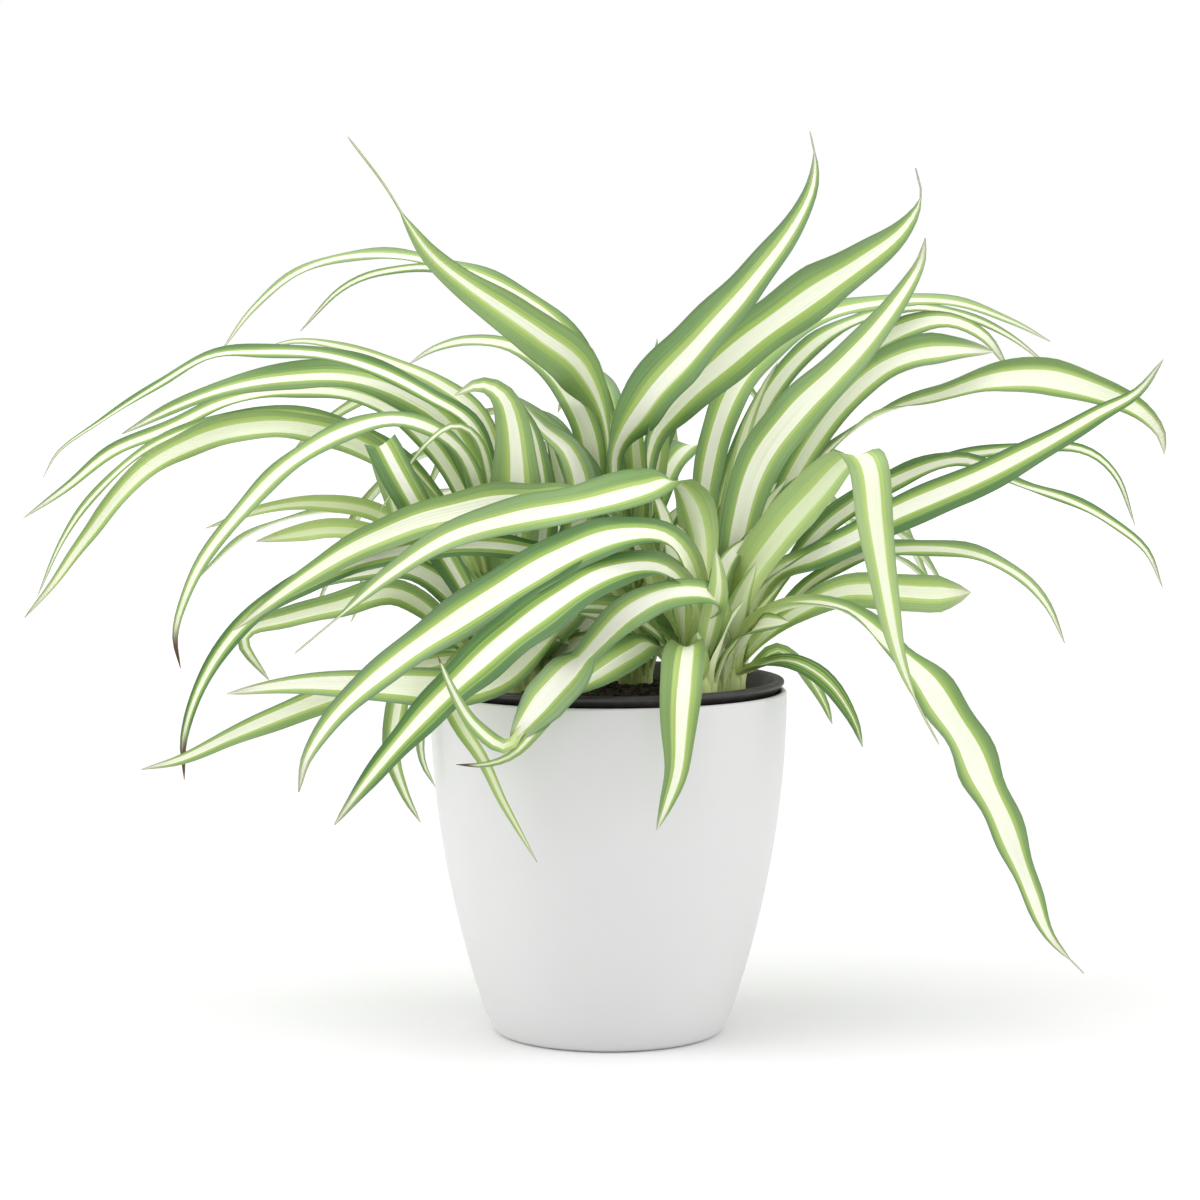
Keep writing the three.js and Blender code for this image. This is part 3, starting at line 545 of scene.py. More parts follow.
def blade_values(tree):
    """What a blade's attributes hold at a point, by name, with noises along the blade.

    across runs from -1 to 1 and share, the way along, from 0 to 1; reach is the way along in
    metres. Each blade has its own tone, stripe (its share of the half width) and dryness, its
    offset, which is how far the stripe is off the middle, and how lime and how dark it is.
    under is 1 on the underside, and aside is the way from the stripe's middle."""
    values = {}
    for title, names in (
            ("place", ("across", "share", "reach")),
            ("kind", ("tone", "stripe", "dryness")),
            ("cast", ("offset", "lime", "dark"))):
        vector = add_node(tree, "ShaderNodeAttribute", attribute_name=title).outputs["Vector"]
        values.update(zip(names, add_node(tree, "ShaderNodeSeparateXYZ", {"Vector": vector}).outputs))
    values["under"] = add_node(tree, "ShaderNodeAttribute", attribute_name="under").outputs["Fac"]
    middle = math_node(tree, "ADD", values["across"], values["offset"])
    values["aside"] = math_node(tree, "ABSOLUTE", middle)
    shifted = math_node(tree, "MULTIPLY_ADD", values["tone"], 37.0, values["across"])
    for name, fine, long, detail in (
            ("threads", 8.0, 7.0, 3.0), ("bands", 3.4, 3.0, 1.0), ("clouds", 1.2, 30.0, 2.0)):
        values[name] = lengthwise_noise(tree, shifted, values["reach"], fine, long, detail)
    return values


def stripe_edge(tree, at):
    """How far a point lies outside the stripe, whose edge wanders with threads and bands."""
    edge = math_node(tree, "SUBTRACT", at["aside"], at["stripe"])
    for name, swing in (("threads", 0.26), ("bands", 0.30)):
        centred = math_node(tree, "SUBTRACT", at[name], 0.5)
        edge = math_node(tree, "MULTIPLY_ADD", centred, swing, edge)
    return edge


def leaf_greens(tree, look, at):
    """The green of a blade's sides: patched with painted sheen, veined, paler along the blade and
    darker by leaf.
    """
    greens = mix_colour(tree, step_node(tree, at["aside"], 0.40, 0.85), look.fresh, look.green)
    # Painted sheen: the grey-green patches mixed in here, spread by noise and by each leaf's tone,
    # stand in for the leaves' gloss
    toned = math_node(tree, "MULTIPLY", at["tone"], 0.7)
    sheen_share = math_node(tree, "MULTIPLY_ADD", at["clouds"], 0.8, toned)
    greens = mix_colour(tree, step_node(tree, sheen_share, 0.4, 1.2), greens, SHEEN_GREY_GREEN)
    veined = step_node(tree, at["threads"], 0.50, 0.72, 0.0, 0.5)
    greens = mix_colour(tree, veined, greens, VEIN_GREEN)
    light = math_node(tree, "SUBTRACT", 1.0, at["dark"])
    paler = math_node(tree, "MULTIPLY", step_node(tree, at["share"], 0.25, 0.95), light)
    greens = mix_colour(tree, math_node(tree, "MULTIPLY", paler, 0.6), greens, PALE_GREEN)
    return mix_colour(tree, math_node(tree, "MULTIPLY", at["dark"], 0.5), greens, DEEP_GREEN)


def blade_sides(tree, look, at, edge):
    """The sides of a blade: a lime band beside the stripe, faint bands further out, a dark rim."""
    halo = step_node(tree, edge, -0.05, 0.40)
    sides = mix_colour(tree, halo, LIME_BAND, leaf_greens(tree, look, at))
    inner = math_node(tree, "SUBTRACT", 1.0, step_node(tree, at["aside"], 0.45, 0.8))
    banded = step_node(tree, at["bands"], 0.50, 0.60, 0.0, 0.75)
    sides = mix_colour(tree, math_node(tree, "MULTIPLY", banded, inner), sides, FAINT_BAND)
    rim = step_node(tree, math_node(tree, "ABSOLUTE", at["across"]), 0.80, 1.0)
    return mix_colour(tree, math_node(tree, "MULTIPLY", rim, 0.55), sides, RIM_GREEN)


def blade_ends(tree, at, blade):
    """Gives a blade's colour its pale base, its faded tip and, on some leaves, a dry brown end."""
    base = step_node(tree, at["share"], 0.04, 0.30, 0.85, 0.0)
    blade = mix_colour(tree, base, blade, BASE_CREAM)
    ageing = math_node(tree, "MULTIPLY_ADD", at["clouds"], 0.05, at["share"])
    fading = step_node(tree, ageing, 0.93, 1.02, 0.0, 0.5)
    blade = mix_colour(tree, fading, blade, FADED_TIP)
    dry_from = math_node(tree, "MULTIPLY_ADD", at["dryness"], -0.07, 1.04)
    dry = step_node(tree, math_node(tree, "SUBTRACT", ageing, dry_from), -0.015, 0.02)
    dry = math_node(tree, "MULTIPLY", dry, step_node(tree, at["dryness"], 0.02, 0.1))
    return mix_colour(tree, dry, blade, DRY_BROWN)


def leaf_tissue(look):
    """Green leaf with a cream stripe along the middle, veined lengthwise, waxy satin."""
    material, tree, shader = new_material("variegated_leaf")
    at = blade_values(tree)
    edge = stripe_edge(tree, at)
    thread = step_node(tree, at["threads"], 0.58, 0.70, 0.0, 0.5)
    cream = mix_colour(tree, thread, look.cream, CREAM_THREAD)
    outside = step_node(tree, edge, -0.03, 0.03)
    blade = mix_colour(tree, outside, cream, blade_sides(tree, look, at, edge))
    blade = mix_colour(tree, math_node(tree, "MULTIPLY", at["lime"], 0.65), blade, LIME_BLADE)
    below = mix_colour(tree, 0.3, blade, UNDERSIDE)
    blade = mix_colour(tree, at["under"], blade, below)
    veins = math_node(tree, "SINE", math_node(tree, "MULTIPLY", at["across"], 40.0))
    shallow = math_node(tree, "MULTIPLY", veins, 0.35)
    relief = math_node(tree, "MULTIPLY_ADD", at["threads"], 1.6, shallow)
    set_inputs(tree, shader, {
        "Base Color": blade_ends(tree, at, blade),
        "Roughness": step_node(tree, at["clouds"], 0.3, 0.7, 0.34, 0.5),
        "Specular IOR Level": 0.35,
        "Normal": bump(tree, relief, distance=0.10 * MM, strength=0.7)})
    return material


def pale_floor():
    """Matt pale floor that brightens away from the object, so that it ends in no horizon."""
    material, tree, shader = new_material("pale_floor")
    place = add_node(tree, "ShaderNodeTexCoord").outputs["Object"]
    away = add_node(tree, "ShaderNodeVectorMath", {0: place}, operation="LENGTH").outputs["Value"]
    set_inputs(tree, shader, {
        "Base Color": (0.93, 0.93, 0.93, 1.0),
        "Roughness": 0.9,
        "Specular IOR Level": 0.0,
        "Emission Color": (1.0, 1.0, 1.0, 1.0),
        "Emission Strength": step_node(tree, away, 0.2, 3.0, 0.02, 0.55)})
    return material


# Helpers for modelling


def deselect_all():
    if bpy.context.object and bpy.context.object.mode != "OBJECT":
        bpy.ops.object.mode_set(mode="OBJECT")
    bpy.ops.object.select_all(action="DESELECT")


def activate(piece):
    deselect_all()
    piece.select_set(True)
    bpy.context.view_layer.objects.active = piece


def add_object(name, operator, **settings):
    """What an operator adds, under the name given."""
    deselect_all()
    operator(**settings)
    added = bpy.context.object
    added.name = added.data.name = name
    return added


def turned_piece(name, rings, sides):
    """A closed turned shape: a disc at the first (radius, height), drawn on through the others."""
    radius, height = rings[0]
    piece = add_object(
        name, bpy.ops.mesh.primitive_circle_add, vertices=sides, radius=radius, fill_type="NGON",
        location=(0, 0, height))
    bpy.ops.object.transform_apply(location=True, rotation=True, scale=True)
    bpy.ops.object.mode_set(mode="EDIT")
    bpy.ops.mesh.select_all(action="SELECT")
    for next_radius, next_height in rings[1:]:
        bpy.ops.mesh.extrude_region_move(
            TRANSFORM_OT_translate={"value": (0, 0, next_height - height)})
        share = next_radius / radius
        bpy.ops.transform.resize(value=(share, share, 1), center_override=(0, 0, next_height))
        radius, height = next_radius, next_height
    bpy.ops.mesh.select_all(action="SELECT")
    bpy.ops.mesh.normals_make_consistent(inside=False)
    bpy.ops.object.mode_set(mode="OBJECT")
    return piece


def cut_with(piece, cutters):
    """Cuts round holes, each (x, y, radius, low, high), out of a piece."""
    for x, y, radius, low, high in cutters:
        cutter = add_object(
            "cutter", bpy.ops.mesh.primitive_cylinder_add, vertices=32, radius=radius,
            depth=high - low, location=(x, y, (low + high) / 2))
        activate(piece)
        modifier = piece.modifiers.new("hole", "BOOLEAN")
        modifier.operation = "DIFFERENCE"
        modifier.solver = "EXACT"
        modifier.object = cutter
        bpy.ops.object.modifier_apply(modifier=modifier.name)
        bpy.data.objects.remove(cutter)


def dress(piece, material, slot_name, *nodes):
    """Gives a piece its material, hangs it under the root body and hides the model's parts that it
    replaces.
    """
    piece.data.materials.clear()
    piece.data.materials.append(material)
    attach(piece, "root")
    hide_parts(*nodes)


def smooth(piece, degrees):
    activate(piece)
    bpy.ops.object.shade_smooth_by_angle(angle=math.radians(degrees))


def rounded(corner, radius, start, end, count=5):
    """Points of an arc about a corner's centre, as (radius, height), from one angle to another."""
    points = []
    for index in range(count + 1):
        angle = math.radians(start + (end - start) * index / count)
        points.append((corner[0] + radius * math.cos(angle), corner[1] + radius * math.sin(angle)))
    return points


def mix(a, b, share):
    return a + (b - a) * share


def smoothstep(value, low, high):
    share = min(max((value - low) / (high - low), 0.0), 1.0)
    return share * share * (3 - 2 * share)


# Cover pot, grower's pot and soil


def pot_radius(pot, height):
    return pot.rim_radius - pot.taper * (1 - height / pot.height) ** 2


def build_cover_pot(pot):
    foot_round = 3.2 * MM
    foot_ring = 5 * MM
    hollow_slope = 1 * MM
    hollow_height = 0.6 * MM
    lip = 1.1 * MM
    rows = 26
    foot = pot_radius(pot, 0) - foot_round
    rings = [(foot - foot_ring - hollow_slope, hollow_height), (foot - foot_ring, 0.0)]
    rings += rounded((foot, foot_round), foot_round, -90, -12)
    for row in range(1, rows + 1):
        height = mix(foot_round, pot.height - lip, row / rows)
        rings.append((pot_radius(pot, height), height))
    rings += rounded((pot.rim_radius - lip, pot.height - lip), lip, 15, 90)
    rings += rounded((pot.rim_radius - pot.wall + lip, pot.height - lip), lip, 90, 165)
    for row in range(rows, 0, -1):
        height = mix(pot.floor + foot_round, pot.height - lip, row / rows)
        rings.append((pot_radius(pot, height) - pot.wall, height))
    inner_foot = pot_radius(pot, pot.floor) - pot.wall - foot_round
    rings += rounded((inner_foot, pot.floor + foot_round), foot_round, -12, -90)
    piece = turned_piece("cover_pot_shell", rings, 128)
    smooth(piece, 40)
    dress(piece, pot_plastic(pot.outside), "cover_pot", "cover_pot")


def build_growers_pot(pot):
    wall = 1.2 * MM
    foot_bevel = 1.5 * MM
    lip_width = 4 * MM
    lip_round = 1.25 * MM
    slope_height = 8 * MM
    slope_share = 0.941
    rows = 8
    low, high = LINER_LOW.z, LINER_HIGH.z
    foot = LINER_FOOT_RADIUS * MM
    mouth = LINER_HIGH.x - lip_width
    slope_radius = mix(foot, mouth, slope_share)
    rings = [(foot - foot_bevel, low), (foot, low + foot_bevel)]
    for row in range(1, rows + 1):
        height = mix(low + foot_bevel, high - slope_height, row / rows)
        rings.append((mix(foot, slope_radius, row / rows), height))
    rings += rounded((LINER_HIGH.x - lip_round, high - lip_round), lip_round, -60, 100, 8)
    rings += [(mouth + 0.6 * MM, high - 0.2 * MM), (mouth - 0.4 * MM, high - 1.2 * MM)]
    rings += [(foot - wall, low + wall + foot_bevel), (foot - wall - foot_bevel, low + wall)]
    piece = turned_piece("growers_pot_shell", rings, 96)
    cut_with(piece, drain_holes(5, 24 * MM, 4 * MM, low - wall, low + 2.5 * wall))
    smooth(piece, 40)
    dress(piece, liner_plastic(pot.liner), "growers_pot", "growers_pot")


def drain_holes(count, circle, radius, low, high):
    """Holes spread evenly on a circle, as cut_with takes them."""
    holes = []
    for index in range(count):
        angle = TURN * index / count
        holes.append((circle * math.cos(angle), circle * math.sin(angle), radius, low, high))
    return holes


def soil_height(x, y):
    """Height of the soil's crumbly surface at a place, in metres."""
    share = min(math.hypot(x, y) / SOIL_HIGH.x, 1.0)
    mound = (SOIL_HIGH.z - SOIL_LEVEL * MM) * (1 - share ** 2)
    coarse = noise.noise(Vector((x, y, 0.0)) * 120)
    fine = noise.noise(Vector((x, y, 0.3)) * 420)
    return SOIL_LEVEL * MM + mound + 1.1 * MM * coarse + 0.7 * MM * fine - 0.8 * MM


def crown_places():
    return [(shoot["at"][0] * MM, shoot["at"][1] * MM) for shoot in SHOOTS.values()]


def build_soil_plug(material):
    low = SOIL_LOW.z
    edge = SOIL_HIGH.x
    foot = SOIL_FOOT_RADIUS * MM
    top = SOIL_LEVEL * MM
    rows = 36
    rings = [(foot, low), (mix(foot, edge, 0.5), mix(low, top, 0.5)), (edge, top - 0.5 * MM)]
    rings += [(edge * (1 - row / rows), top) for row in range(1, rows)]
    rings.append((0.6 * MM, top))
    piece = turned_piece("soil_plug", rings, 120)
    for vertex in piece.data.vertices:
        if vertex.co.z > top - 0.1 * MM:
            vertex.co.z = soil_height(vertex.co.x, vertex.co.y)
    radius = (CROWN_RADIUS + HOLE_GAP) * MM
    depth = (CROWN_DEPTH + HOLE_GAP) * MM
    cut_with(piece, [(x, y, radius, top - depth, top + depth) for x, y in crown_places()])
    smooth(piece, 60)
    dress(piece, material, "soil", "soil")


def scatter_crumbs(soil, material):
    """Loose crumbs of compost on the soil, clear of the crowns, as one mesh."""
    draw = random.Random(soil.seed)
    hole = (CROWN_RADIUS + HOLE_GAP) * MM
    spread = SOIL_HIGH.x - 2 * MM
    largest = 1.9 * MM
    crumb = add_object(
        "crumb", bpy.ops.mesh.primitive_ico_sphere_add, subdivisions=1, radius=1.0)
    heap = bmesh.new()
    for _ in range(soil.crumbs):
        angle = draw.uniform(0, TURN)
        away = spread * math.sqrt(draw.random())
        x, y = away * math.cos(angle), away * math.sin(angle)
        size = draw.uniform(0.35, 1.0) ** 2 * largest
        lengths = (draw.uniform(0.8, 1.7), draw.uniform(0.7, 1.2), draw.uniform(0.5, 0.9), 1)
        turn = Matrix.Rotation(draw.uniform(0, TURN), 4, "Z")
        turn = turn @ Matrix.Rotation(draw.uniform(0, 1.2), 4, "X")
        near = min(math.hypot(x - crown_x, y - crown_y) for crown_x, crown_y in crown_places())
        if near < hole + 1.2 * size:
            continue
        place = Matrix.Translation((x, y, soil_height(x, y) + 0.25 * size))
        shaped = place @ turn @ Matrix.Diagonal(lengths) @ Matrix.Scale(size, 4)
        before = len(heap.verts)
        heap.from_mesh(crumb.data)
        heap.verts.ensure_lookup_table()
        for vertex in heap.verts[before:]:
            vertex.co *= draw.uniform(0.75, 1.2)
            vertex.co = shaped @ vertex.co
    mesh = bpy.data.meshes.new("soil_crumbs")
    heap.to_mesh(mesh)
    heap.free()
    bpy.data.objects.remove(crumb)
    crumbs = bpy.data.objects.new("soil_crumbs", mesh)
    bpy.context.collection.objects.link(crumbs)
    crumbs.data.materials.append(material)
    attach(crumbs, "root")


# Leaves


def from_sketch(point):
    """A point of the sketch, slid along its line of sight to its depth, in millimetres."""
    x, z, depth = point
    nearness = 1 + depth / EYE_DISTANCE
    return Vector((x * nearness, depth, EYE_HEIGHT + (z - EYE_HEIGHT) * nearness))


def along_curve(points, step):
    """Places spread evenly on a smooth curve through the points, each with its direction."""
    per_span = 24
    ends = [2 * points[0] - points[1], *points, 2 * points[-1] - points[-2]]
    fine = []
    for before, start, end, after in zip(ends, ends[1:], ends[2:], ends[3:]):
        out, into = 0.5 * (end - before), 0.5 * (after - start)
        for index in range(per_span):
            t = index / per_span
            fine.append(
                (2 * t ** 3 - 3 * t ** 2 + 1) * start + (t ** 3 - 2 * t ** 2 + t) * out
                + (3 * t ** 2 - 2 * t ** 3) * end + (t ** 3 - t ** 2) * into)
    fine.append(points[-1])
    lengths = [0.0]
    for a, b in zip(fine, fine[1:]):
        lengths.append(lengths[-1] + (b - a).length)
    count = max(12, round(lengths[-1] / step))
    places = []
    index = 0
    for number in range(count + 1):
        wanted = lengths[-1] * number / count
        while index < len(fine) - 2 and lengths[index + 1] < wanted:
            index += 1
        gap = lengths[index + 1] - lengths[index]
        share = min((wanted - lengths[index]) / gap, 1.0)
        direction = (fine[index + 1] - fine[index]).normalized()
        places.append((fine[index].lerp(fine[index + 1], share), direction))
    for number in range(1, count):
        bend = places[number - 1][1] + places[number][1] + places[number + 1][1]
        places[number] = (places[number][0], bend.normalized())
    return places, lengths[-1]


def width_share(s, peak, thin_end):
    """A leaf's share of its full width: a narrow base, widest at peak, then a taper."""
    place = min(1, s / (1 - thin_end))
    base = mix(BASE_SHARE, 1, smoothstep(place, 0, peak))
    taper = min(1, (1 - place) / (0.92 - peak)) ** 0.7
    least = 0.07 * thin_end ** 0.2 if thin_end and s < 0.99 else 0.02
    return max(least, base * taper)


def fold_share(s):
    """How far the halves of a blade rise from its midrib, as a share of the half width."""
    return mix(1.1, 0.22, smoothstep(s, 0, 0.4))


class Foliage:
    """The mesh of one shoot as it grows: its points, its faces and what its material reads."""

    # Places of the points across a blade, and the step along it in millimetres
    COLUMNS = (-1.0, -0.94, -0.72, -0.46, -0.2, 0.0, 0.2, 0.46, 0.72, 0.94, 1.0)
    STEP = 4.0
    # Lengths of the waves and of the swells along a blade's edges, in millimetres
    WAVE_LENGTHS = (34, 58)
    RUFFLE_LENGTHS = (24, 40)
    # How far a stripe may lie off the middle, as a share of the half width
    STRIPE_OFFSETS = (-0.15, 0.15)
    CROWN_SIDES = 36
    CROWN_RIBS = 7

    def __init__(self, look, stripes, darkness):
        self.look = look
        self.stripes = stripes
        self.darkness = darkness
        self.points = []
        self.faces = []
        self.place = []
        self.kind = []
        self.cast = []
        self.under = []

    def add_ring(self, ring, kind, cast):
        for point, place, under in ring:
            self.points.append(point * MM)
            self.place += place
            self.kind += kind
            self.cast += cast
            self.under.append(under)

    def add_shell(self, rings, kind, cast):
        """Closes rings of points into one shell, capped at both ends."""
        start = len(self.points)
        size = len(rings[0])
        for ring in rings:
            self.add_ring(ring, kind, cast)
        for number in range(len(rings) - 1):
            for side in range(size):
                a = start + size * number + side
                b = start + size * number + (side + 1) % size
                self.faces.append((a, b, b + size, a + size))
        last = start + size * (len(rings) - 1)
        for first, turned in ((start, True), (last, False)):
            for column in range(size // 2 - 1):
                near, far = first + column, first + size - 1 - column
                cap = (near, near + 1, far - 1, far)
                self.faces.append(cap[::-1] if turned else cap)

    def add_blade(
            self, width, facings, midrib, draw, peak=WIDEST, thin_end=0, age=1.0, dry=0.0, wave=1.0,
            lime=0.0):
        """One leaf, with waved edges, a channel along the midrib and thin sides."""
        places, length = along_curve(midrib, self.STEP)
        kind = (draw.random(), draw.uniform(*self.stripes), dry)
        cast = (draw.uniform(*self.STRIPE_OFFSETS), lime, draw.choice(self.darkness))
        wave_length = draw.uniform(*self.WAVE_LENGTHS)
        phases = {-1: draw.uniform(0, TURN), 1: draw.uniform(0, TURN)}
        rise = self.look.wave / MM * wave * draw.uniform(0.6, 1.3)
        ruffle = self.look.ruffle * wave * draw.uniform(0.5, 1.2)
        ruffle_length = draw.uniform(*self.RUFFLE_LENGTHS)
        thick = self.look.thickness / MM
        rings = []
        for number, (centre, along) in enumerate(places):
            s = number / (len(places) - 1)
            spot = s * (len(facings) - 1)
            first = min(int(spot), len(facings) - 2)
            facing = facings[first].lerp(facings[first + 1], spot - first)
            normal = (facing - along * facing.dot(along)).normalized()
            across = along.cross(normal)
            half = 0.5 * width * width_share(s, peak, thin_end)
            ripple = rise * smoothstep(s, 0.12, 0.4) * min(1.0, 3 * (1 - s)) * min(1.0, width / 12)
            upper, lower = [], []
            for u in self.COLUMNS:
                side = -1 if u < 0 else 1
                lift = half * fold_share(s) * abs(u) ** 1.3
                lift += ripple * abs(u) ** 2 * math.sin(TURN * s * length / wave_length + phases[side])
                spread = 1 + ruffle * math.sin(TURN * s * length / ruffle_length + 2 * phases[side])
                depth = thick * (0.4 + 0.6 * (1 - abs(u))) * (0.35 + 0.65 * min(1.0, half / 3))
                top = centre + across * (u * half * spread) + normal * lift
                place = (u, s * age, s * length * MM)
                upper.append((top, place, 0.0))
                lower.append((top - normal * depth, place, 1.0))
            rings.append(upper + lower[::-1])
        self.add_shell(rings, kind, cast)

    def add_crown(self, at, draw):
        """The short stem of a shoot, ribbed by the leaf bases around it."""
        profile = [
            (0.7, -CROWN_DEPTH), (0.85, -0.8 * CROWN_DEPTH), (1.0, -0.5 * CROWN_DEPTH), (1.0, 0),
            (1.0, 0.4 * CROWN_RISE), (0.85, 0.75 * CROWN_RISE), (0.6, CROWN_RISE),
            (0.2, 1.08 * CROWN_RISE)]
        rings = []
        for share, height in profile:
            ring = []
            for side in range(self.CROWN_SIDES):
                angle = TURN * side / self.CROWN_SIDES
                ribs = 0.94 + 0.05 * math.cos(self.CROWN_RIBS * angle + 0.12 * height)
                radius = CROWN_RADIUS * share * ribs
                x = at[0] + radius * math.cos(angle)
                y = at[1] + radius * math.sin(angle)
                place = (math.cos(self.CROWN_RIBS * angle), 0.02, height * MM)
                ring.append((Vector((x, y, SOIL_LEVEL + height)), place, 0.0))
            rings.append(ring)
        self.add_shell(rings, (draw.random(), 0.35, 0.0), (0.0, 0.4, 0.0))

    def finish(self, name, material, node):
        mesh = bpy.data.meshes.new(name)
        mesh.from_pydata(self.points, [], self.faces)
        for title, kind, field, values in (
                ("place", "FLOAT_VECTOR", "vector", self.place),
                ("kind", "FLOAT_VECTOR", "vector", self.kind),
                ("cast", "FLOAT_VECTOR", "vector", self.cast),
                ("under", "FLOAT", "value", self.under)):
            mesh.attributes.new(title, kind, "POINT").data.foreach_set(field, values)
        piece = bpy.data.objects.new(name, mesh)
        bpy.context.collection.objects.link(piece)
        activate(piece)
        bpy.ops.object.mode_set(mode="EDIT")
        bpy.ops.mesh.select_all(action="SELECT")
        bpy.ops.mesh.normals_make_consistent(inside=False)
        bpy.ops.object.mode_set(mode="OBJECT")
        smooth(piece, 50)
        dress(piece, material, "leaf", node)


def root_point(at, towards):
    """Where a leaf leaves its crown on the way to a point."""
    outward = Vector((towards.x - at[0], towards.y - at[1]))
    outward = outward.normalized() * min(LEAF_ROOT_RADIUS, outward.length)
    return Vector((at[0] + outward.x, at[1] + outward.y, SOIL_LEVEL + LEAF_ROOT_RISE))


def facing_of(tilt, turn=0):
    """The direction that a blade's upper face looks in, from its tilt and its turn in degrees."""
    level = math.cos(math.radians(tilt))
    turn = math.radians(turn)
    return Vector((level * math.sin(turn), -level * math.cos(turn), math.sin(math.radians(tilt))))


def level_direction(angle):
    return Vector((math.cos(angle), math.sin(angle), 0))


def leaning_path(foot, outward, stations):
    """Points that leave a foot, each from (way out, way up) in millimetres."""
    return [foot + outward * out + Vector((0, 0, up)) for out, up in stations]


def sketched_blade(foliage, leaf, draw, dry, lime, at=None, wave=1.0):
    """A leaf of the list, from the crown at a place, or an end that starts on a leaf."""
    width, tilts, path, *form = leaf
    facings = [facing_of(*tilt) if isinstance(tilt, list) else facing_of(tilt) for tilt in tilts]
    points = [from_sketch(point) for point in path]
    root = [root_point(at, points[0])] if at else []
    foliage.add_blade(width, facings, root + points, draw, *form, dry=dry, lime=lime, wave=wave)


def fan_leaf(foliage, at, fan, index, draw):
    """A leaf that rises from the crown, arches and falls, facing the middle, then the sky."""
    share = index / (fan["count"] - 1)
    outward = level_direction(math.radians(mix(fan["from"], fan["to"], share)))
    odd = index % 2
    reach, arch, fall = fan["reach"][odd], fan["arch"][odd], fan["fall"][odd]
    points = []
    for station, (out, up) in enumerate([(0.1, 0.5), (0.3, 0.88), (0.55, 1), (0.8, 0.72), (1, 0)]):
        low = 0 if station < 3 else arch - fall
        height = SOIL_LEVEL + LEAF_ROOT_RISE + low + up * (arch - low)
        x = at[0] + outward.x * out * reach
        y = at[1] + outward.y * out * reach
        points.append(Vector((x, y, height)))
    facings = [
        Vector((-outward.x, -outward.y, 0.5)),
        Vector((0, 0, 1)),
        Vector((0.6 * outward.x, 0.6 * outward.y, 0.8))]
    foliage.add_blade(fan["width"], facings, [root_point(at, points[0]), *points], draw)


def inner_leaf(foliage, at, index, draw):
    """One of the short pale leaves that clasp a crown, the first ones the shortest."""
    outward = level_direction(index * GOLDEN_ANGLE)
    foot = Vector((at[0], at[1], SOIL_LEVEL + 2))
    height = draw.uniform(18, 30) + 2.6 * index
    spread = draw.uniform(0.15, 0.5) * height
    points = leaning_path(foot, outward, [
        (CROWN_RADIUS - 1.2, 0),
        (CROWN_RADIUS, 0.35 * height),
        (CROWN_RADIUS + 0.35 * spread, 0.7 * height),
        (CROWN_RADIUS + spread, height)])
    inward = Vector((-outward.x, -outward.y, 0.15))
    width = draw.uniform(8, 12)
    foliage.add_blade(
        width, [inward, inward], points, draw, SHORT_LEAF_PEAK, age=0.55, wave=0.3, lime=0.3)


def middle_leaf(foliage, at, index, draw):
    """One of the green leaves of middling length that stand around a crown and lean outwards."""
    outward = level_direction(index * GOLDEN_ANGLE + 0.6)
    foot = Vector((at[0], at[1], SOIL_LEVEL + LEAF_ROOT_RISE))
    height = draw.uniform(52, 80)
    spread = draw.uniform(8, 26)
    points = leaning_path(foot, outward, [
        (LEAF_ROOT_RADIUS, 0),
        (LEAF_ROOT_RADIUS + 0.12 * spread, 0.4 * height),
        (LEAF_ROOT_RADIUS + 0.5 * spread, 0.8 * height),
        (LEAF_ROOT_RADIUS + spread, height)])
    facings = [Vector((-outward.x, -outward.y, 0.3)), Vector((draw.uniform(-0.6, 0.6), -1, 0.3))]
    width = draw.uniform(9, 13)
    foliage.add_blade(width, facings, points, draw, SHORT_LEAF_PEAK, age=0.7, lime=0.2)


def low_leaf(foliage, at, degrees, draw):
    """One of the leaves that leave a crown low and lean across its neighbours."""
    outward = level_direction(math.radians(degrees))
    foot = Vector((at[0], at[1], SOIL_LEVEL + LEAF_ROOT_RISE))
    reach = draw.uniform(38, 50)
    rise = draw.uniform(14, 32)
    points = leaning_path(foot, outward, [
        (LEAF_ROOT_RADIUS + share * reach, lift * rise)
        for share, lift in ((0, 0), (0.16, 0.42), (0.48, 0.85), (1, 1))])
    facings = [Vector((-outward.x, -outward.y, 0.5)), Vector((draw.uniform(-0.3, 0.3), -1, 0.5))]
    width = draw.uniform(11, 14)
    foliage.add_blade(width, facings, points, draw, SHORT_LEAF_PEAK, age=0.7, lime=0.1)


def seeded(look, *words):
    """A leaf's own random draws, so that no leaf changes when another is added."""
    return random.Random(" ".join(str(word) for word in (*words, look.seed)))


def grow_long_leaves(foliage, name, look):
    """The leaves of one shoot that are sketched one by one."""
    at = SHOOTS[name]["at"]
    stripes, darkness = foliage.stripes, foliage.darkness
    for index, leaf in enumerate(SHOOTS[name]["leaves"]):
        own = LEAF_LOOKS[name].get(index, {})
        draw = seeded(look, name, index)
        dry = own["dry"] if "dry" in own else draw.choice(USUAL_DRYNESS)
        lime = own.get("lime", draw.choice(USUAL_LIME))
        foliage.stripes = (own["stripe"], own["stripe"]) if "stripe" in own else stripes
        foliage.darkness = (own["dark"],) if "dark" in own else darkness
        sketched_blade(foliage, leaf, draw, dry, lime, at, own.get("wave", 1.0))
    foliage.stripes, foliage.darkness = stripes, darkness
    for index, end in enumerate(SHOOTS[name].get("ends", [])):
        sketched_blade(foliage, end, seeded(look, name, "end", index), 1.0, 0.2)


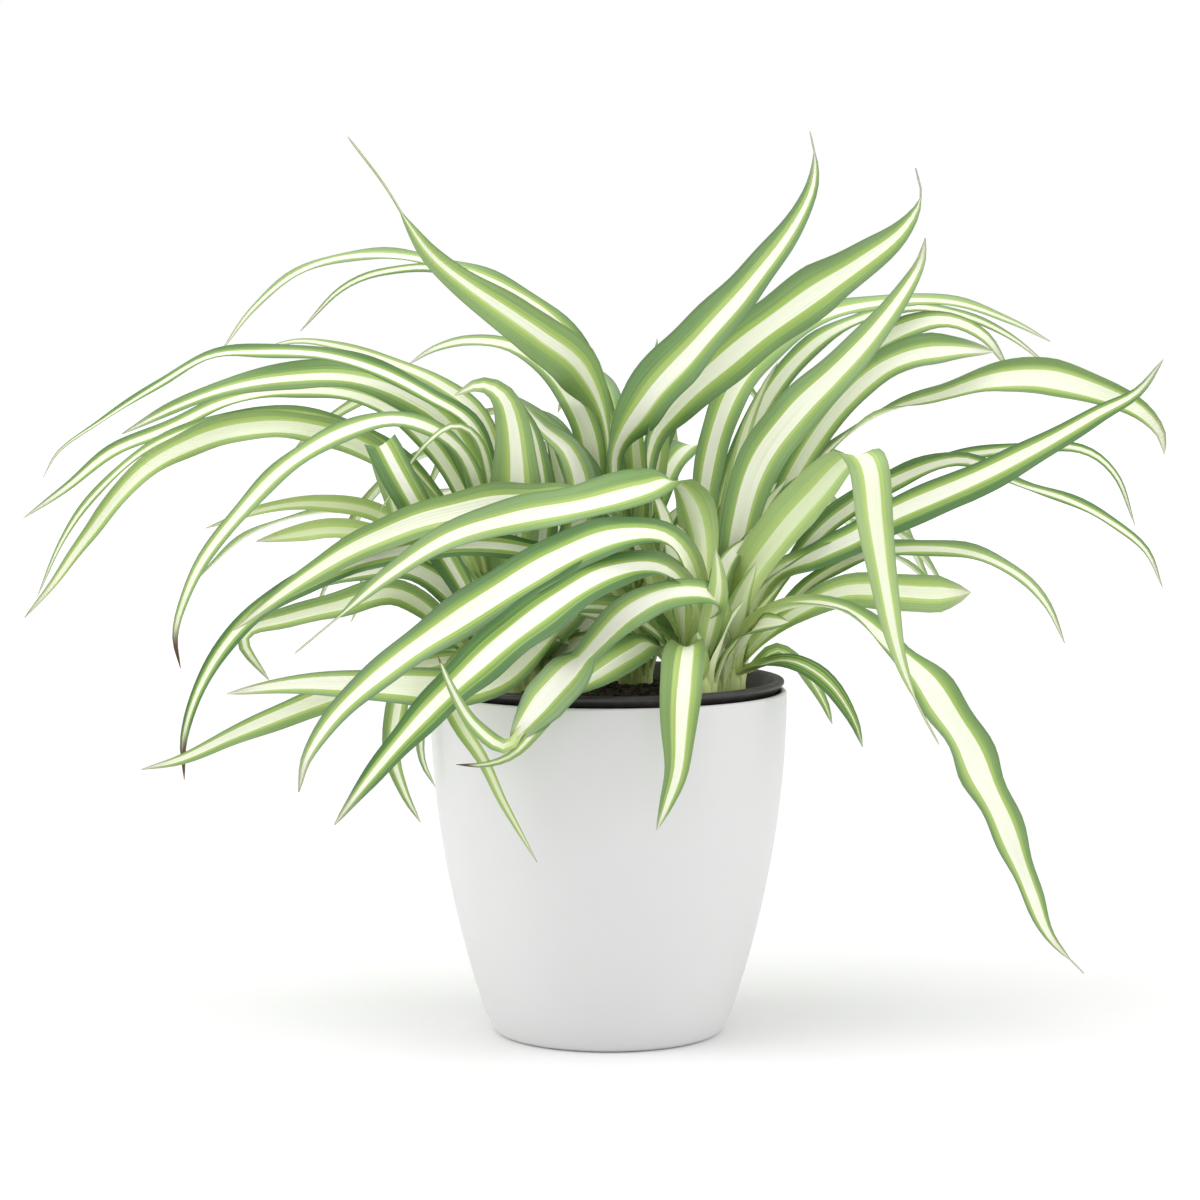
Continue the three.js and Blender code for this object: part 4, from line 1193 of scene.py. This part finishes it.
def grow_short_leaves(foliage, name, look):
    """The leaves of one shoot that clasp its crown, stand around it and lean out of it."""
    at = SHOOTS[name]["at"]
    foliage.stripes = SHORT_LEAF_STRIPES
    for index in range(INNER_LEAVES[name]):
        inner_leaf(foliage, at, index, seeded(look, name, "inner", index))
    for index in range(MIDDLE_LEAVES[name]):
        middle_leaf(foliage, at, index, seeded(look, name, "middle", index))
    for degrees in LOW_LEAVES[name]:
        low_leaf(foliage, at, degrees, seeded(look, name, "low", degrees))


def build_shoot(name, look):
    at = SHOOTS[name]["at"]
    stripes = SHOOT_STRIPES.get(name, USUAL_STRIPES)
    foliage = Foliage(look, stripes, SHOOT_DARKNESS.get(name, USUAL_DARKNESS))
    foliage.add_crown(at, seeded(look, name, "crown"))
    grow_long_leaves(foliage, name, look)
    for number, fan in enumerate(REAR_FANS.get(name, [])):
        for index in range(fan["count"]):
            fan_leaf(foliage, at, fan, index, seeded(look, name, "fan", number, index))
    grow_short_leaves(foliage, name, look)
    material = bpy.data.materials.get("variegated_leaf") or leaf_tissue(look)
    foliage.finish(name.replace("shoot", "leaves"), material, name)


# Stage


def turn_towards(place, target):
    """How a camera or a light at a place is turned to look at its target."""
    return (Vector(target) - Vector(place)).to_track_quat("-Z", "Y").to_euler()


def add_camera():
    eye = Vector((0, -EYE_DISTANCE, EYE_HEIGHT)) * MM
    turn = turn_towards(eye, Vector(EYE_TARGET) * MM)
    camera = add_object("camera", bpy.ops.object.camera_add, location=eye, rotation=turn)
    camera.data.lens = EYE_LENS
    camera.data.sensor_width = 36
    bpy.context.scene.camera = camera


def add_floor(size):
    floor = add_object(
        "floor", bpy.ops.mesh.primitive_plane_add, size=size, location=(0, 0, -FLOOR_DROP))
    floor.data.materials.append(pale_floor())


def add_area_light(name, place, aim, power):
    turn = turn_towards(place, aim)
    light = add_object(
        name, bpy.ops.object.light_add, type="AREA", location=place, rotation=turn)
    light.data.shape = "SQUARE"
    light.data.size = LIGHT_SIZE
    light.data.energy = power


def light_surround(strength):
    """Even white light from all around, which the camera sees as plain white."""
    world = bpy.context.scene.world or bpy.data.worlds.new("studio")
    bpy.context.scene.world = world
    world.use_nodes = True
    tree = world.node_tree
    background = tree.nodes["Background"]
    background.inputs["Color"].default_value = (1.0, 1.0, 1.0, 1.0)
    seen = add_node(tree, "ShaderNodeLightPath").outputs["Is Camera Ray"]
    shown = math_node(tree, "MULTIPLY_ADD", seen, 1.0 - strength, strength)
    tree.links.new(shown, background.inputs["Strength"])


def build_stage(stage):
    add_camera()
    add_floor(stage.floor_size)
    add_area_light("left_light", (-1.5, -0.45, 0.9), (0, 0, 0.18), stage.left_power)
    add_area_light("right_light", (1.5, -0.45, 0.8), (0, 0, 0.15), stage.right_power)
    add_area_light("top_light", (-0.2, -0.1, 1.9), (0, 0, 0.2), stage.top_power)
    light_surround(stage.surround)
    bpy.context.scene.view_settings.view_transform = "Standard"


# Operators and panel


class PLANT_OT_stage(bpy.types.Operator):
    """Sets up the pale floor, the soft lights and the camera"""

    bl_idname = "plant.stage"
    bl_label = "Stage"

    def execute(self, context):
        build_stage(context.scene.plant_stage)
        return {"FINISHED"}


class PLANT_OT_cover_pot(bpy.types.Operator):
    """Turns the round white cover pot"""

    bl_idname = "plant.cover_pot"
    bl_label = "Cover pot"

    def execute(self, context):
        build_cover_pot(context.scene.plant_pot)
        return {"FINISHED"}


class PLANT_OT_growers_pot(bpy.types.Operator):
    """Turns the thin dark pot that the plant grows in, with its drain holes"""

    bl_idname = "plant.growers_pot"
    bl_label = "Grower's pot"

    def execute(self, context):
        build_growers_pot(context.scene.plant_pot)
        return {"FINISHED"}


class PLANT_OT_soil(bpy.types.Operator):
    """Fills the grower's pot with compost and loose crumbs"""

    bl_idname = "plant.soil"
    bl_label = "Soil"

    def execute(self, context):
        soil = context.scene.plant_soil
        material = compost(soil.earth)
        build_soil_plug(material)
        scatter_crumbs(soil, material)
        return {"FINISHED"}


class PLANT_OT_shoot(bpy.types.Operator):
    """Grows one shoot: its crown, its long leaves and the short ones around the crown"""

    bl_idname = "plant.shoot"
    bl_label = "Shoot"

    shoot: StringProperty(name="Shoot", description="Which shoot to grow", default="shoot_front")

    def execute(self, context):
        if self.shoot not in SHOOTS:
            raise ValueError(f"there is no shoot named {self.shoot}")
        build_shoot(self.shoot, context.scene.plant_leaf)
        return {"FINISHED"}


class PLANT_PT_panel(bpy.types.Panel):
    """Lists the pieces of the potted plant"""

    bl_idname = "PLANT_PT_panel"
    bl_label = "Potted spider plant"
    bl_space_type = "VIEW_3D"
    bl_region_type = "UI"
    bl_category = "Spider plant"

    def draw(self, context):
        layout = self.layout
        scene = context.scene
        for settings in (scene.plant_pot, scene.plant_soil, scene.plant_leaf, scene.plant_stage):
            box = layout.box()
            for name in settings.__annotations__:
                box.prop(settings, name)
        for operator in ("plant.stage", "plant.cover_pot", "plant.growers_pot", "plant.soil"):
            layout.operator(operator)
        for name in SHOOTS:
            layout.operator("plant.shoot", text=name).shoot = name


CLASSES = (
    PlantPotSettings, PlantSoilSettings, PlantLeafSettings, PlantStageSettings,
    PLANT_OT_stage, PLANT_OT_cover_pot, PLANT_OT_growers_pot, PLANT_OT_soil, PLANT_OT_shoot,
    PLANT_PT_panel,
)


def register():
    for item in CLASSES:
        bpy.utils.register_class(item)
    bpy.types.Scene.plant_pot = PointerProperty(type=PlantPotSettings)
    bpy.types.Scene.plant_soil = PointerProperty(type=PlantSoilSettings)
    bpy.types.Scene.plant_leaf = PointerProperty(type=PlantLeafSettings)
    bpy.types.Scene.plant_stage = PointerProperty(type=PlantStageSettings)


def unregister():
    for name in ("plant_pot", "plant_soil", "plant_leaf", "plant_stage"):
        delattr(bpy.types.Scene, name)
    for item in reversed(CLASSES):
        bpy.utils.unregister_class(item)


def main():
    register()
    bpy.ops.plant.stage()
    bpy.ops.plant.cover_pot()
    bpy.ops.plant.growers_pot()
    bpy.ops.plant.soil()
    for name in SHOOTS:
        bpy.ops.plant.shoot(shoot=name)


if __name__ == "__main__":
    main()
